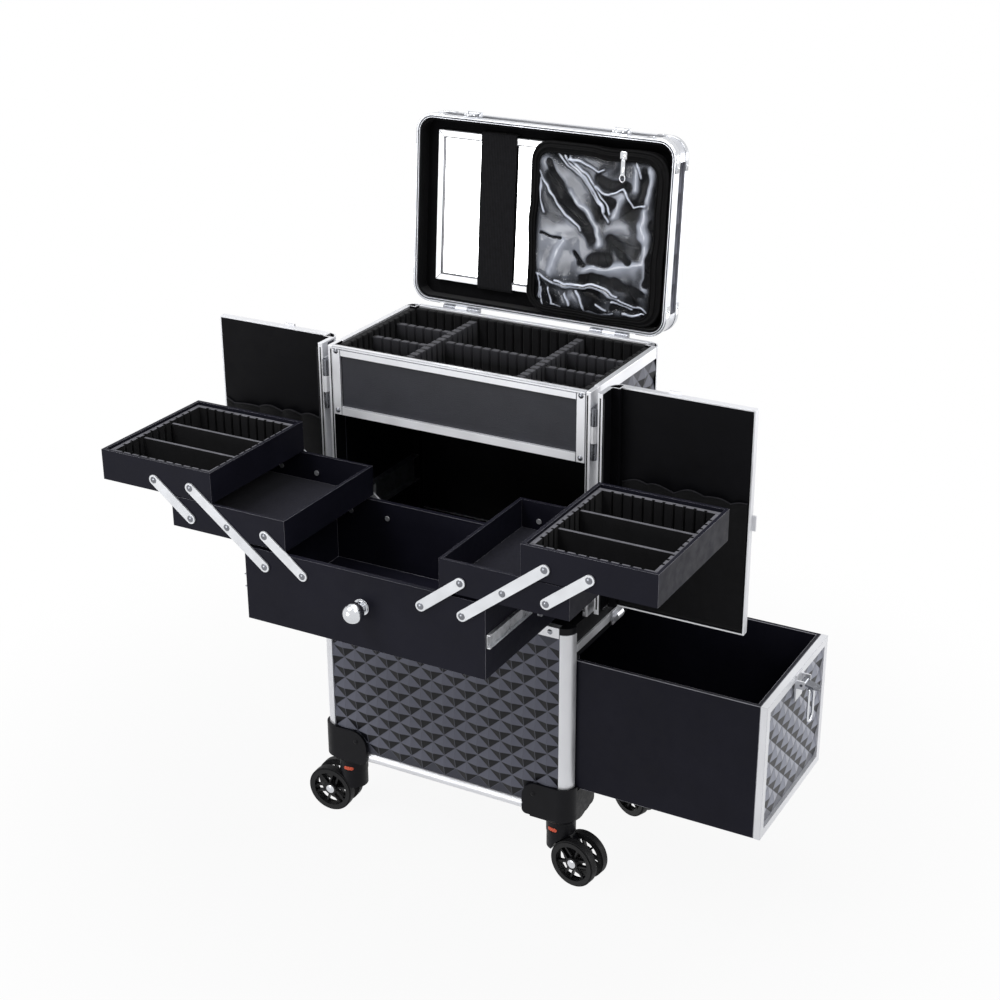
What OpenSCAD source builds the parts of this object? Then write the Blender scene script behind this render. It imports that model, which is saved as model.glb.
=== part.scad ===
// Rolling makeup case, stored open: lid up, doors swung back, drawers out and trays spread.
// Millimetres, +Z up, -Y is the front. The origin is on the floor, midway under the lower box.

/* [Case] */
// Outside width of the case
case_w = 340; // [310:2:400]
// Outside depth of the lower box and of the lid
case_d = 228; // [216:2:270]
// Underside of the lower box above the floor
base_z = 90; // [84:1:110]
// Height of the lower box
lower_h = 254; // [240:1:300]
// Height of the upper section, from the lower box to the rim
upper_h = 272; // [264:1:320]
// How far the upper front stands back behind the closed doors
door_d = 40; // [36:1:50]
// Thickness of the case walls
wall = 6; // [5:0.5:8]
// Radius of the rounded corner posts
post_r = 15; // [13:1:18]
// Height of the aluminium rails
rail_h = 14; // [10:1:18]
// Depth of the aluminium rails
rail_d = 9; // [7:0.5:11]
// Metal thickness of the aluminium profiles
skin = 1.8; // [1.2:0.2:2.4]
// Depth of the upper front posts, which carry the door hinges
stile_d = 22; // [20:1:26]

/* [Diamond panels] */
// Width of one embossed diamond
cell_w = 32.5; // [24:0.5:44]
// Height of one embossed diamond
cell_h = 29.4; // [22:0.5:40]
// How far the diamonds stand out
peak = 3; // [1:0.5:3.5]

/* [Top compartment] */
// Height of the front of the top compartment
fascia_h = 84; // [70:1:90]
// Width of the fascia's aluminium frame
fascia_w = 11; // [8:1:16]
// Thickness of the ribbed lining
lining_t = 9; // [8.5:0.5:12]
// Spacing of the lining's ribs
rib_pitch = 12; // [9:0.5:16]
// Width of the groove between two ribs
groove_w = 3; // [2:0.5:4]
// Depth of the groove between two ribs
groove_d = 3; // [1:0.5:4]
// Distance of the two long dividers from the middle
bay_x = 72; // [50:1:84]
// Thickness of a long divider
divider_t = 10; // [8:0.5:12]
// Thickness of a cross divider
cross_t = 7; // [6:0.5:9]
// Place of the front cross dividers of the outer bays
cross_y1 = 0; // [-20:1:16]
// Place of the rear cross dividers of the outer bays
cross_y2 = 55; // [40:1:70]
// Place of the cross divider of the middle bay
cross_ym = 22; // [-10:1:50]
// Dividers below the rim
divider_drop = 5; // [4:1:30]

/* [Lid] */
// Height of the closed lid
lid_h = 40; // [36:1:60]
// Angle at which the lid stands open
lid_open = 94.6; // [92:0.2:100]
// Corner radius of the lid
lid_r = 22; // [16:1:30]
// Thickness of the lid's walls
lid_wall = 4; // [3:0.5:6]
// Thickness of the padded lining in the lid
lid_pad = 17; // [12:0.5:17]
// Width of the mirror with its frame
mirror_w = 141; // [110:1:146]
// Gap in front of the mirror
mirror_front = 12.4; // [8:0.2:40]
// Gap behind the mirror
mirror_back = 18.6; // [8:0.2:40]
// Thickness of the mirror with its frame
mirror_t = 7; // [5:0.5:9]
// Width of the mirror's frame
mirror_edge = 8; // [5:0.5:14]
// Left edge of the mirror from the lid's left side
mirror_x = 24; // [16:1:44]
// Left edge of the elastic strap from the mirror's left edge
strap_x = 60; // [40:1:80]
// Width of the elastic strap
strap_w = 47; // [30:1:60]
// Thickness of the elastic strap
strap_t = 1.5; // [1:0.1:2]
// Gap between the strap and the clear bag
bag_gap = 25; // [6:1:60]
// Gap in front of the clear bag
bag_front = 9; // [4:1:30]
// Thickness of the filled bag
bag_t = 11.5; // [6:0.5:12]
// Distance of the lid hasps from the middle
hasp_x = 97; // [80:1:110]
// Width of a lid hasp
hasp_w = 14; // [12:1:24]

/* [Doors] */
// Thickness of a door
door_t = 9; // [7:0.5:11]
// Width of the aluminium edge on the outside of a door
door_edge = 10; // [8:1:16]
// Gap under the doors
door_gap = 6; // [3:0.5:10]
// Radius of a hinge barrel
barrel_r = 3.7; // [3:0.1:3.8]
// Radius of a hinge pin
pin_r = 1.6; // [1.2:0.1:2]
// Length of a hinge
hinge_l = 60; // [40:1:80]

/* [Front drawer] */
// Width of the gap for a drawer slide
slide_w = 12; // [11.5:0.5:14]
// Height of a drawer slide
slide_h = 34; // [30:1:44]
// Height of the front drawer
drawer_h = 89; // [70:1:92]
// How far the closed front drawer stands in front of the upper front
drawer_proud = 5; // [0:1:12]
// Drawer above the lower box
drawer_lift = 14; // [8:1:16]
// How far the back of the drawn front drawer stands in front of the upper front
drawer_out = 25; // [15:1:35]
// Thickness of the drawer walls
drawer_wall = 6; // [4:0.5:8]
// Diameter of the knob's ball
knob_d = 24; // [14:0.5:28]
// Height of the knob over the drawer's underside
knob_z = 50; // [30:1:60]

/* [Cantilever trays] */
// Height of a tray
tray_h = 36.5; // [30:0.5:37]
// Thickness of the tray walls
tray_wall = 4; // [3:0.5:6]
// Lift of the lower trays over the drawer
tray_lift = 4; // [2:0.5:5]
// Sideways reach of one arm span
arm_dx = 48; // [44:0.5:52]
// Clear height between stacked trays
tray_gap = 1; // [0.6:0.1:2]
// First pivot on the drawer, from the drawer's end
pivot_in = 77; // [70:1:86]
// Spacing of the pivots
pivot_dx = 50; // [44:1:52]
// Height of the pivots above a tray's underside
pivot_z = 14; // [10:0.5:20]
// Width of an arm
arm_w = 12; // [9:0.5:14]
// Thickness of an arm
arm_t = 2; // [1.5:0.1:2.5]
// Radius of the rivets that the arms turn on
rivet_r = 2.4; // [2:0.1:3]

/* [Side drawer] */
// How far the side drawer stands out
side_out = 230; // [200:1:240]
// Length of the side drawer
side_l = 325; // [300:1:327]
// Underside of the side drawer above the lower box's underside
side_z = 40; // [38:1:46]
// Height of the side drawer
side_h = 169; // [150:1:172]
// Width of the frame round the side drawer's face
face_w = 10; // [8:0.5:16]
// Thickness of the side drawer's face
face_t = 8; // [7.5:0.5:12]
// Width of the toggle latch
latch_w = 22; // [20:1:30]
// Length of the latch's wire bail
bail_l = 42; // [34:1:56]

/* [Casters] */
// Radius of a caster wheel
wheel_r = 30; // [24:1:31]
// Width of one wheel
wheel_w = 11; // [9:0.5:16]
// Gap between the two wheels of a caster
wheel_gap = 12; // [10:0.5:16]
// Trail of a wheel behind its swivel
trail = 27; // [22:0.5:30]
// Swivel axes from the case's outer faces
caster_in = 24; // [22:0.5:28]
// Thickness of a wheel's rim with its tyre
rim_t = 7.5; // [6:0.5:9]
// Radius of a wheel's hub
hub_r = 8; // [7:0.5:9]
// Number of spoke pairs in a wheel
spokes = 3; // [3:1:4]
// Width of a spoke
spoke_w = 2.4; // [2:0.2:3]
// Length of the corner guards' wings
guard_w = 61; // [50:1:64]
// Height of the corner guards over the lower box's underside
guard_h = 43; // [38:1:46]
// Thickness of the corner guards
guard_t = 3.5; // [2.5:0.5:5]

/* [Pull handle] */
// Distance of the handle's tubes from the middle
handle_x = 70; // [50:1:90]
// Outside width of a handle sleeve
sleeve_w = 22; // [18:1:28]
// Outside depth of a handle sleeve
sleeve_d = 15; // [12:1:20]
// Height of a sleeve's top over the lower box
sleeve_top = 176; // [120:1:190]
// Lower ends of the handle's tubes over the lower box's underside
tube_foot = 60; // [40:5:90]

/* [Hidden] */
$fn = 48;
// Running clearance of a pin in its hole, of sliding faces, and of loose seats
run = 0.05;
slip = 0.3;
seat = 0.6;
hw = case_w / 2;
hd = case_d / 2;
yf = -hd;
yu = yf + door_d;
zb0 = base_z;
zb1 = base_z + lower_h;
zr = zb1 + upper_h;
zc = zr - fascia_h;
board_t = 6;
cap_h = 8;
plate = wall - peak;
// top compartment
well_x = hw - rail_h / 2;
well_y0 = yu + wall;
well_y1 = hd - rail_h / 2;
room_x = well_x - lining_t;
room_y0 = well_y0 + lining_t;
room_y1 = well_y1 - lining_t;
floor_t = 5;
lining_drop = 2;
// hinges
hinge_off = 4;
leaf_t = 1.5;
leaf_w = stile_d - 2;
hinge_x = hw + hinge_off;
lid_axis_y = hd + hinge_off;
lid_hinge_x = 100;
lid_hinge_l = 50;
// doors
door_z0 = zb1 + door_gap;
door_z1 = zr;
door_meet = 0.5;
hinge_z = [door_z0 + 18, door_z1 - 18 - hinge_l];
// front drawer and trays
drawer_hw = hw - wall - slide_w;
drawer_back = 7;
drawer_l = hd - wall - yu - drawer_back + drawer_proud;
drawer_travel = drawer_l + drawer_out - drawer_proud;
drawer_y0 = yu - drawer_proud - drawer_travel;
drawer_y1 = drawer_y0 + drawer_l;
drawer_z0 = zb1 + drawer_lift;
drawer_z1 = drawer_z0 + drawer_h;
tray_w = drawer_hw;
arm_dz = tray_h + tray_gap;
lower_z0 = drawer_z1 + tray_lift;
upper_z0 = lower_z0 + arm_dz;
meet = 1;
lower_x0 = meet + 2 * arm_dx;
upper_x0 = meet + 4 * arm_dx;
arm_gap = 0.4;
tray_floor = 3;
tray_foam = 6;
pivot_x = drawer_hw - pivot_in;
pivot_z0 = lower_z0 + pivot_z - arm_dz;
slide_z = drawer_z0 + drawer_h / 2 - slide_h / 2;
slide_l = drawer_l - drawer_proud - 4;
slide_t = 1.2;
slide_in = slide_w * 0.375;
slide_lip = slide_h / 4 + 0.5;
// side drawer
side_y = hd - post_r - 2;
side_x1 = hw + side_out;
side_x0 = side_x1 - side_l;
side_z0 = zb0 + side_z;
side_z1 = side_z0 + side_h;
side_wall = 5;
runner_w = 16;
runner_y = hd - guard_w - runner_w / 2 - 1;
runner_h = 12;
runner_neck = runner_w * 0.1375;
runner_foot = runner_w / 2 - 2.5;
sill_z1 = side_z0 - 2;
head_z0 = side_z1 + 2;
catch_z = side_z1 + 12;
catch_h = 10;
latch_z = side_z1 - 12;
latch_px = side_x1 + 7;
bail_r = 1.6;
// casters
caster_x = hw - caster_in + 1;
caster_y = hd - caster_in - 2;
socket_r = 31;
stem_r = 6;
collar_r = 18;
guard_z0 = zb0 - 12;
guard_low = 1;
guard_r = 20;
guard_side_h = side_z - 3;
collar_z0 = wheel_r * 2 + 1.5;
axle_r = 3;
skirt_z0 = wheel_r + 10;
cap_r = 5.5;
trails = [[1, -1, -8], [-1, -1, 184], [1, 1, -22], [-1, 1, 160]];

// helpers

module box(x0, x1, y0, y1, z0, z1) {
    translate([x0, y0, z0]) cube([x1 - x0, y1 - y0, z1 - z0]);
}

// Closed tray without a top
module open_box(x0, x1, y0, y1, z0, z1, t, bottom) {
    difference() {
        box(x0, x1, y0, y1, z0, z1);
        box(x0 + t, x1 - t, y0 + t, y1 - t, z0 + bottom, z1 + 1);
    }
}

module both_sides() {
    children();
    mirror([1, 0, 0]) children();
}

module side(s) {
    if (s < 0) mirror([1, 0, 0]) children();
    else children();
}

// Puts the children, made at the rear right corner, at the corner named by sx and sy
module corner(sx, sy) {
    mirror([sx < 0 ? 1 : 0, 0, 0]) mirror([0, sy < 0 ? 1 : 0, 0]) children();
}

module corners() {
    for (sx = [-1, 1]) {
        for (sy = [-1, 1]) corner(sx, sy) children();
    }
}

// Plate in the XY plane whose upper side is embossed with a lattice of diamond pyramids.
// Every second lattice point is a peak, and the valleys run diagonally between the others.
module diamond_plate(w, h, base, high) {
    nx = max(1, round(w / cell_w)) * 2;
    ny = max(1, round(h / cell_h)) * 2;
    top = [for (j = [0:ny]) for (i = [0:nx])
        [i * w / nx, j * h / ny, base + ((i + j) % 2 == 1 && j > 0 && j < ny ? high : 0)]];
    ring = concat([for (i = [0:nx - 1]) [i, 0]], [for (j = [0:ny - 1]) [nx, j]],
        [for (i = [nx:-1:1]) [i, ny]], [for (j = [ny:-1:1]) [0, j]]);
    n = len(top);
    m = len(ring);
    low = [for (p = ring) [p[0] * w / nx, p[1] * h / ny, 0]];
    field = [for (j = [0:ny - 1]) for (i = [0:nx - 1])
        let (a = j * (nx + 1) + i, b = a + 1, c = a + nx + 2, d = a + nx + 1)
        each ((i + j) % 2 == 0 ? [[a, c, b], [a, d, c]] : [[a, d, b], [b, d, c]])];
    rim = [for (k = [0:m - 1])
        let (l = (k + 1) % m, p = ring[k], q = ring[l],
            tp = p[1] * (nx + 1) + p[0], tq = q[1] * (nx + 1) + q[0])
        each [[n + k, tp, tq], [n + k, tq, n + l]]];
    under = [for (k = [0:m - 1]) [n + m, n + k, n + (k + 1) % m]];
    polyhedron(points = concat(top, low, [[w / 2, h / 2, 0]]), faces = concat(field, rim, under));
}

// The same plate standing up, centred on the origin, facing the front
module diamond_wall(w, z0, z1, base, high) {
    translate([-w / 2, 0, z0]) rotate([90, 0, 0]) diamond_plate(w, z1 - z0, base, high);
}

// Hollow quarter-round profile of a corner post
module post2d() {
    difference() {
        intersection() {
            circle(r = post_r);
            square(post_r);
        }
        intersection() {
            circle(r = post_r - skin);
            translate([skin, skin]) square(post_r);
        }
    }
}

module post(z0, z1) {
    translate([hw - post_r, hd - post_r, z0]) linear_extrude(z1 - z0) post2d();
}

// Half-round rail profile, outer side at x = 0
module rail2d() {
    intersection() {
        translate([rail_h / 2, rail_h / 2]) circle(r = rail_h / 2);
        square([rail_h / 2, rail_h]);
    }
    translate([rail_h / 2, 0]) square([rail_d - rail_h / 2, rail_h]);
}

// Plan that leaves room for the corner posts
module notched(x, y0, y1, inset, front_too) {
    translate([-x, front_too ? y0 + inset : y0]) square([2 * x, y1 - y0 - inset * (front_too ? 2 : 1)]);
    translate([-x + inset, y0]) square([2 * (x - inset), y1 - y0]);
}

// Grooves along a wall of the given length, starting at the origin, cut towards +y
module grooves(len) {
    n = floor((len - rib_pitch) / rib_pitch);
    first = (len - (n - 1) * rib_pitch) / 2;
    for (i = [0:n - 1]) {
        translate([first + i * rib_pitch - groove_w / 2, -1]) square([groove_w, groove_d + 1]);
    }
}

// Wall of ribbed lining along x, standing on the XY plane, ribs towards -y
module ribbed_wall(len, t, z0, z1) {
    translate([0, 0, z0]) linear_extrude(z1 - z0) difference() {
        square([len, t]);
        grooves(len);
    }
}

// Four walls of ribbed lining round a room, given by its clear inside. The front and rear walls
// run past the side walls by over.
module ribbed_room(x0, x1, y0, y1, t, over, z0, z1) {
    translate([x0 - over[1], y1, 0]) ribbed_wall(x1 - x0 + 2 * over[1], t, z0, z1);
    translate([x1 + over[0], y0, 0]) rotate(180) ribbed_wall(x1 - x0 + 2 * over[0], t, z0, z1);
    translate([x1, y1 - run, 0]) rotate(-90) ribbed_wall(y1 - y0 - 2 * run, t, z0, z1);
    translate([x0, y0 + run, 0]) rotate(90) ribbed_wall(y1 - y0 - 2 * run, t, z0, z1);
}

module ribbed_bar(x0, x1, y, t, z0, z1) {
    translate([0, 0, z0]) linear_extrude(z1 - z0) difference() {
        translate([x0, y - t / 2]) square([x1 - x0, t]);
        translate([x0, y - t / 2]) grooves_shallow(x1 - x0, t);
    }
}

// Fine grooves on both faces of a divider
module grooves_shallow(len, t) {
    n = floor((len - rib_pitch) / rib_pitch);
    first = (len - (n - 1) * rib_pitch) / 2;
    deep = t * 0.27;
    for (i = [0:n - 1]) {
        translate([first + i * rib_pitch - groove_w / 2, -1]) square([groove_w, deep + 1]);
        translate([first + i * rib_pitch - groove_w / 2, t - deep]) square([groove_w, deep + 1]);
    }
}

// Flat dome of a rivet, standing on the XY plane
module dome(r, h) {
    intersection() {
        translate([0, 0, h - (r * r + h * h) / (2 * h)]) sphere(r = (r * r + h * h) / (2 * h));
        cylinder(r = r + 1, h = h + 1);
    }
}

// One leaf of a hinge with its knuckles. The axis is the Z axis, the leaf lies at x = -hinge_off
// and runs towards +y. own lists the knuckle thirds that belong to this leaf.
module leaf(len, own, pin) {
    third = len / 3;
    difference() {
        union() {
            translate([-hinge_off, hinge_off + slip, 0]) cube([leaf_t, leaf_w - hinge_off - slip, len]);
            for (k = own) {
                translate([0, 0, k * third + slip / 2]) cylinder(r = barrel_r, h = third - slip);
                translate([-hinge_off, 0, k * third + slip / 2])
                    cube([leaf_t, hinge_off + slip, third - slip]);
            }
        }
        if (!pin) translate([0, 0, -1]) cylinder(r = pin_r + run, h = len + 2);
    }
    if (pin) cylinder(r = pin_r, h = len);
}

// carcass

module corner_posts() {
    color("silver") corners() post(zb0, zb1 - cap_h);
}

module lower_rails() {
    fx = hw - post_r;
    fy = hd - post_r;
    color("silver") {
        for (s = [0, 1]) mirror([0, s, 0]) {
            translate([-fx, yf, zb0]) rotate([90, 0, 90]) linear_extrude(2 * fx) rail2d();
            box(-fx, fx, yf, yf + rail_d, zb1 - rail_h, zb1);
        }
        for (s = [0, 1]) mirror([s, 0, 0]) {
            translate([-hw, fy, zb0]) rotate([90, 0, 0]) linear_extrude(2 * fy) rail2d();
        }
        box(-hw, -hw + rail_d, -fy, fy, zb1 - rail_h, zb1);
    }
}

module boards() {
    fy = hd - post_r;
    inset = post_r - rail_d;
    color("#1c1c20") {
        // base board and bay floor
        for (z = [zb0 + 2, zb1 - board_t]) translate([0, 0, z]) linear_extrude(board_t)
            notched(hw - rail_d, -hd + rail_d, hd - rail_d, inset, true);
        // floor of the top compartment
        translate([0, 0, zc]) linear_extrude(floor_t)
            notched(hw - wall, yu + wall + run, hd - wall, post_r - wall, false);
        // plain panel behind the fascia frame
        box(-hw + wall, hw - wall, yu + 2, yu + wall, zc, zr - 3);
        // sill of the side opening with slots for the runners, and its header
        difference() {
            box(hw - rail_d, hw - 1, -fy, fy, zb0 + rail_h, sill_z1);
            for (s = [-1, 1]) translate([hw, s * runner_y, 0]) 
                box(-20, 0, -runner_w / 2 + 1, runner_w / 2 - 1, side_z0 - runner_h - slip, sill_z1 + 1);
        }
        box(hw - rail_d + run, hw - 2, -fy, fy, head_z0, zb1);
    }
}

module lower_panels() {
    z0 = zb0 + rail_h;
    z1 = zb1 - rail_h;
    color("#26262b") {
        translate([0, yf + wall, 0]) diamond_wall(2 * (hw - post_r), z0, z1, plate, peak);
        rotate(180) translate([0, yf + wall, 0]) diamond_wall(2 * (hw - post_r), z0, z1, plate, peak);
        rotate(-90) translate([0, -hw + wall, 0]) diamond_wall(2 * (hd - post_r), z0, z1, plate, peak);
    }
}

module upper_panels() {
    z0 = zb1;
    z1 = zr - rail_h;
    y0 = yu + stile_d;
    y1 = hd - post_r;
    ym = (y0 + y1) / 2;
    color("#26262b") {
        rotate(180) translate([0, yf + wall, 0]) diamond_wall(2 * (hw - post_r), z0, z1, plate, peak);
        both_sides() translate([0, ym, 0]) rotate(90) translate([0, -hw + wall, 0])
            diamond_wall(y1 - y0, z0, z1, plate, peak);
    }
}

module upper_frame() {
    y1 = hd - post_r;
    color("silver") {
        both_sides() {
            box(hw - wall, hw, yu, yu + stile_d, zb1, zr);
            post(zb1, zr);
            box(hw - rail_h / 2, hw, yu + stile_d + run, y1 - run, zr - rail_h, zr);
        }
        box(-hw + post_r + run, hw - post_r - run, hd - rail_h / 2, hd, zr - rail_h, zr);
    }
}

// Four flat profiles with butted corners; the upper one also covers the fascia's edge
module fascia_frame() {
    fx = hw - wall;
    w = fascia_w;
    color("silver") {
        for (s = [0, 1]) mirror([s, 0, 0]) box(fx - w, fx, yu - 1, yu + 2, zc, zr - 3 - run);
        box(-fx + w + run, fx - w - run, yu - 1, yu + 2, zc, zc + w);
        box(-fx + w + run, fx - w - run, yu - 1, yu + 2, zr - w, zr - 3 - run);
        box(-fx, fx, yu - 1, yu + wall, zr - 3, zr);
    }
}

module compartment_lining() {
    color("#161618") ribbed_room(-room_x, room_x, room_y0, room_y1, lining_t, [lining_t, 0],
        zc + floor_t, zr - lining_drop);
}

module dividers() {
    z0 = zc + floor_t + slip;
    z1 = zr - divider_drop;
    zs = z1 - 3;
    x0 = bay_x + divider_t / 2 + slip;
    ly = room_y1 - room_y0 - 2 * slip;
    color("#202024") {
        both_sides() {
            translate([bay_x, room_y0 + slip, 0]) rotate(90) ribbed_bar(0, ly, 0, divider_t, z0, z1);
            ribbed_bar(x0, room_x - slip, cross_y1, cross_t, z0, zs);
            ribbed_bar(x0, room_x - slip, cross_y2, cross_t, z0, zs);
        }
        ribbed_bar(-bay_x + divider_t / 2 + slip, bay_x - divider_t / 2 - slip, cross_ym, cross_t, z0, zs);
    }
}

// Leaves of the door hinges and of the lid hinges that sit on the carcass, with their pins
module hinge_leaves() {
    color("silver") both_sides() {
        for (z = hinge_z) translate([hinge_x, yu, z]) leaf(hinge_l, [0, 2], true);
        translate([lid_hinge_x + lid_hinge_l / 2, lid_axis_y, zr]) rotate([-90, 0, 0]) rotate([0, -90, 0])
            leaf(lid_hinge_l, [0, 2], true);
    }
}

module slide_outer_members() {
    t = slide_t;
    rz = side_z0 - runner_h / 3;
    color("#b8bcc2") {
        both_sides() difference() {
            box(hw - wall - slide_w + 3, hw - wall, yu + 2, yu + 2 + slide_l, slide_z, slide_z + slide_h);
            box(0, hw - wall - t, yu, yu + slide_l + 4, slide_z + t, slide_z + slide_h - t);
        }
        for (s = [-1, 1]) translate([0, s * runner_y, 0]) difference() {
            box(-hw + 20, hw - rail_d - 6, -runner_w / 2, runner_w / 2, zb0 + 2 + board_t, rz);
            box(-hw, hw, -runner_w / 2 + t, runner_w / 2 - t, rz - runner_h, rz - t);
            box(-hw, hw, -runner_neck - 1.3, runner_neck + 1.3, rz - 4, side_z0);
        }
    }
}

// Outline of a guard's wing, its far end at the origin, with a large and a small rounded corner
module wing2d(h) {
    r = guard_r;
    q = 6;
    len = guard_w - post_r;
    translate([r, h - r]) circle(r = r);
    translate([q, q]) circle(r = q);
    translate([0, q]) square([len, h - r - q]);
    translate([q, 0]) square([len - q, q]);
    translate([r, h - r]) square([len - r, r]);
}

// Corner guard at the rear right corner: wings, neck and the fixed collar of the caster
module guard() {
    c = run;
    cx = hw - post_r;
    cy = hd - post_r;
    z0 = zb0 - guard_low;
    top = zb0 + guard_h;
    r = post_r + guard_t;
    difference() {
        union() {
            translate([cx, cy, z0]) intersection() {
                cylinder(r = r, h = top - z0);
                cube([r, r, top - z0]);
            }
            translate([hw - guard_w, hd + guard_t, z0]) rotate([90, 0, 0]) linear_extrude(guard_t - c)
                wing2d(guard_h + guard_low);
            translate([hw + c, hd - guard_w, z0]) rotate([90, 0, 90]) linear_extrude(guard_t - c)
                wing2d(guard_side_h + guard_low);
            // plate under the corner, the neck that narrows to the collar, and the collar
            box(hw - guard_w + 10, cx, hd - 36, hd + guard_t / 2, zb0 - 4, zb0);
            box(hw - 36, hw + guard_t / 2, hd - guard_w + 10, cy, zb0 - 4, zb0);
            intersection() {
                translate([caster_x, caster_y, guard_z0])
                    cylinder(r1 = collar_r + 1, r2 = socket_r, h = zb0 - guard_z0);
                translate([0, 0, guard_z0]) linear_extrude(zb0 - guard_z0) {
                    translate([hw - guard_w, hd - guard_w]) square([guard_w - post_r, guard_w + guard_t]);
                    translate([hw - guard_w, hd - guard_w]) square([guard_w + guard_t, guard_w - post_r]);
                    translate([cx, cy]) circle(r = r);
                }
            }
            translate([caster_x, caster_y, collar_z0]) cylinder(r = collar_r, h = guard_z0 - collar_z0);
        }
        // room for the post
        translate([cx, cy, zb0]) cylinder(r = post_r + c, h = lower_h);
        // stem hole, the button's slot and the thumb notch under it
        translate([caster_x, caster_y, collar_z0 - 1]) cylinder(r = stem_r + run, h = zb0 - 4 - collar_z0);
        button_at() {
            button_shape(slip);
            translate([0, 2, 2]) rotate([-90, 0, 0]) linear_extrude(6) intersection() {
                circle(r = 6.2);
                translate([-8, 0]) square([16, 8]);
            }
        }
    }
}

// Place of the release button on the collar, on its outer side
module button_at() {
    translate([caster_x - 3, caster_y + collar_r - 4, guard_z0 - 9.5]) children();
}

module button_shape(c) {
    rotate([-90, 0, 0]) linear_extrude(8) {
        translate([-4, 0]) circle(r = 2.4 + c);
        translate([4, 0]) circle(r = 2.4 + c);
        square([8, 4.8 + 2 * c], center = true);
    }
}

module corner_guards() {
    color("#1b1b1d") corners() {
        guard();
        // cap on the post
        translate([hw - post_r, hd - post_r, zb1 - cap_h]) intersection() {
            cylinder(r = post_r, h = cap_h);
            cube([post_r, post_r, cap_h]);
        }
    }
}

module release_buttons() {
    color("#e2583a") corners() intersection() {
        button_at() translate([0, slip, 0]) button_shape(0);
        translate([caster_x, caster_y, 0]) cylinder(r = collar_r + 0.4, h = zb0);
    }
}

module rivets() {
    fx = hw - wall - fascia_w / 2;
    color("#d0d2d6") {
        for (x = [-fx, fx]) {
            for (z = [zc + fascia_w / 2, zr - fascia_w / 2]) {
                translate([x, yu - 1, z]) rotate([90, 0, 0]) dome(3.4, 1.6);
            }
        }
        corners() {
            translate([hw - guard_w + 15, hd + guard_t, zb0 + 29]) rotate([-90, 0, 0]) dome(3.4, 1.6);
            translate([hw - post_r - 12, hd, zb1 - rail_h / 2]) rotate([-90, 0, 0]) dome(3.4, 1.6);
        }
    }
}

// Rail over the side opening with the strike that the latch's bail hooks on
module side_catch_rail() {
    fy = hd - post_r;
    color("silver") {
        box(hw - 2, hw + 0.5, -fy, fy, catch_z, catch_z + catch_h);
        box(hw + 0.2, hw + 2, -10, 10, catch_z - 6, catch_z + catch_h + 2);
        difference() {
            translate([hw + 2, 8, catch_z + 5]) rotate([90, 0, 0]) cylinder(r = 7, h = 16);
            box(hw - 8, hw + 1.5, -20, 20, catch_z - 20, catch_z + 30);
            translate([hw + 2, 20, catch_z + 9]) rotate([90, 0, 0]) cylinder(r = 5, h = 40);
        }
    }
}

module handle_sleeves() {
    t = 1.5;
    z1 = zb1 + sleeve_top;
    color("silver") both_sides() {
        difference() {
            box(handle_x - sleeve_w / 2, handle_x + sleeve_w / 2, hd + 3, hd + 3 + sleeve_d, zb0 + 20, z1);
            box(handle_x - sleeve_w / 2 + t, handle_x + sleeve_w / 2 - t, hd + 3 + t, hd + 3 + sleeve_d - t,
                zb0 + 24, z1 + 1);
        }
        // feet that hold the sleeve on the back
        for (z = [zb0 + 20, zb1 - 20, z1 - 22]) {
            box(handle_x - sleeve_w / 2 - 8, handle_x + sleeve_w / 2 + 8, hd, hd + 3.5, z, z + 20);
        }
    }
}

module pull_handle() {
    c = 1.5 + slip;
    z1 = zb1 + sleeve_top;
    y0 = hd + 3;
    color("#3a3b3f") {
        both_sides() difference() {
            box(handle_x - sleeve_w / 2 + c, handle_x + sleeve_w / 2 - c, y0 + c, y0 + sleeve_d - c,
                zb0 + tube_foot, z1 + 4 - run);
            box(handle_x - sleeve_w / 2 + c + 1.2, handle_x + sleeve_w / 2 - c - 1.2, y0 + c + 1.2,
                y0 + sleeve_d - c - 1.2, zb0 + tube_foot - 1, z1 - 2);
        }
        // grip with rounded ends
        translate([0, y0 + sleeve_d / 2, z1 + 4]) {
            box(-handle_x, handle_x, -sleeve_d / 2, sleeve_d / 2, 0, 20);
            both_sides() translate([handle_x, 0, 0]) cylinder(r = sleeve_d / 2, h = 20);
        }
    }
}

// lid, drawn closed and then swung open

module lid_swing() {
    translate([0, lid_axis_y, zr]) rotate([-lid_open, 0, 0]) translate([0, -lid_axis_y, 0]) children();
}

module rounded2d(x, y, r) {
    translate([-x + r, -y]) square([2 * (x - r), 2 * y]);
    translate([-x, -y + r]) square([2 * x, 2 * (y - r)]);
    for (i = [-1, 1]) {
        for (j = [-1, 1]) translate([i * (x - r), j * (y - r)]) circle(r = r);
    }
}

module lid_ring(out, inn, z0, z1) {
    translate([0, 0, z0]) linear_extrude(z1 - z0) difference() {
        rounded2d(hw - out, hd - out, lid_r - out);
        rounded2d(hw - inn, hd - inn, max(1, lid_r - inn));
    }
}

lid_z0 = seat;
lid_z1 = seat + lid_h;
lid_band = 12;
lid_in = lid_wall + 3;
lid_floor = lid_z1 - lid_wall - lid_pad;

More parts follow.
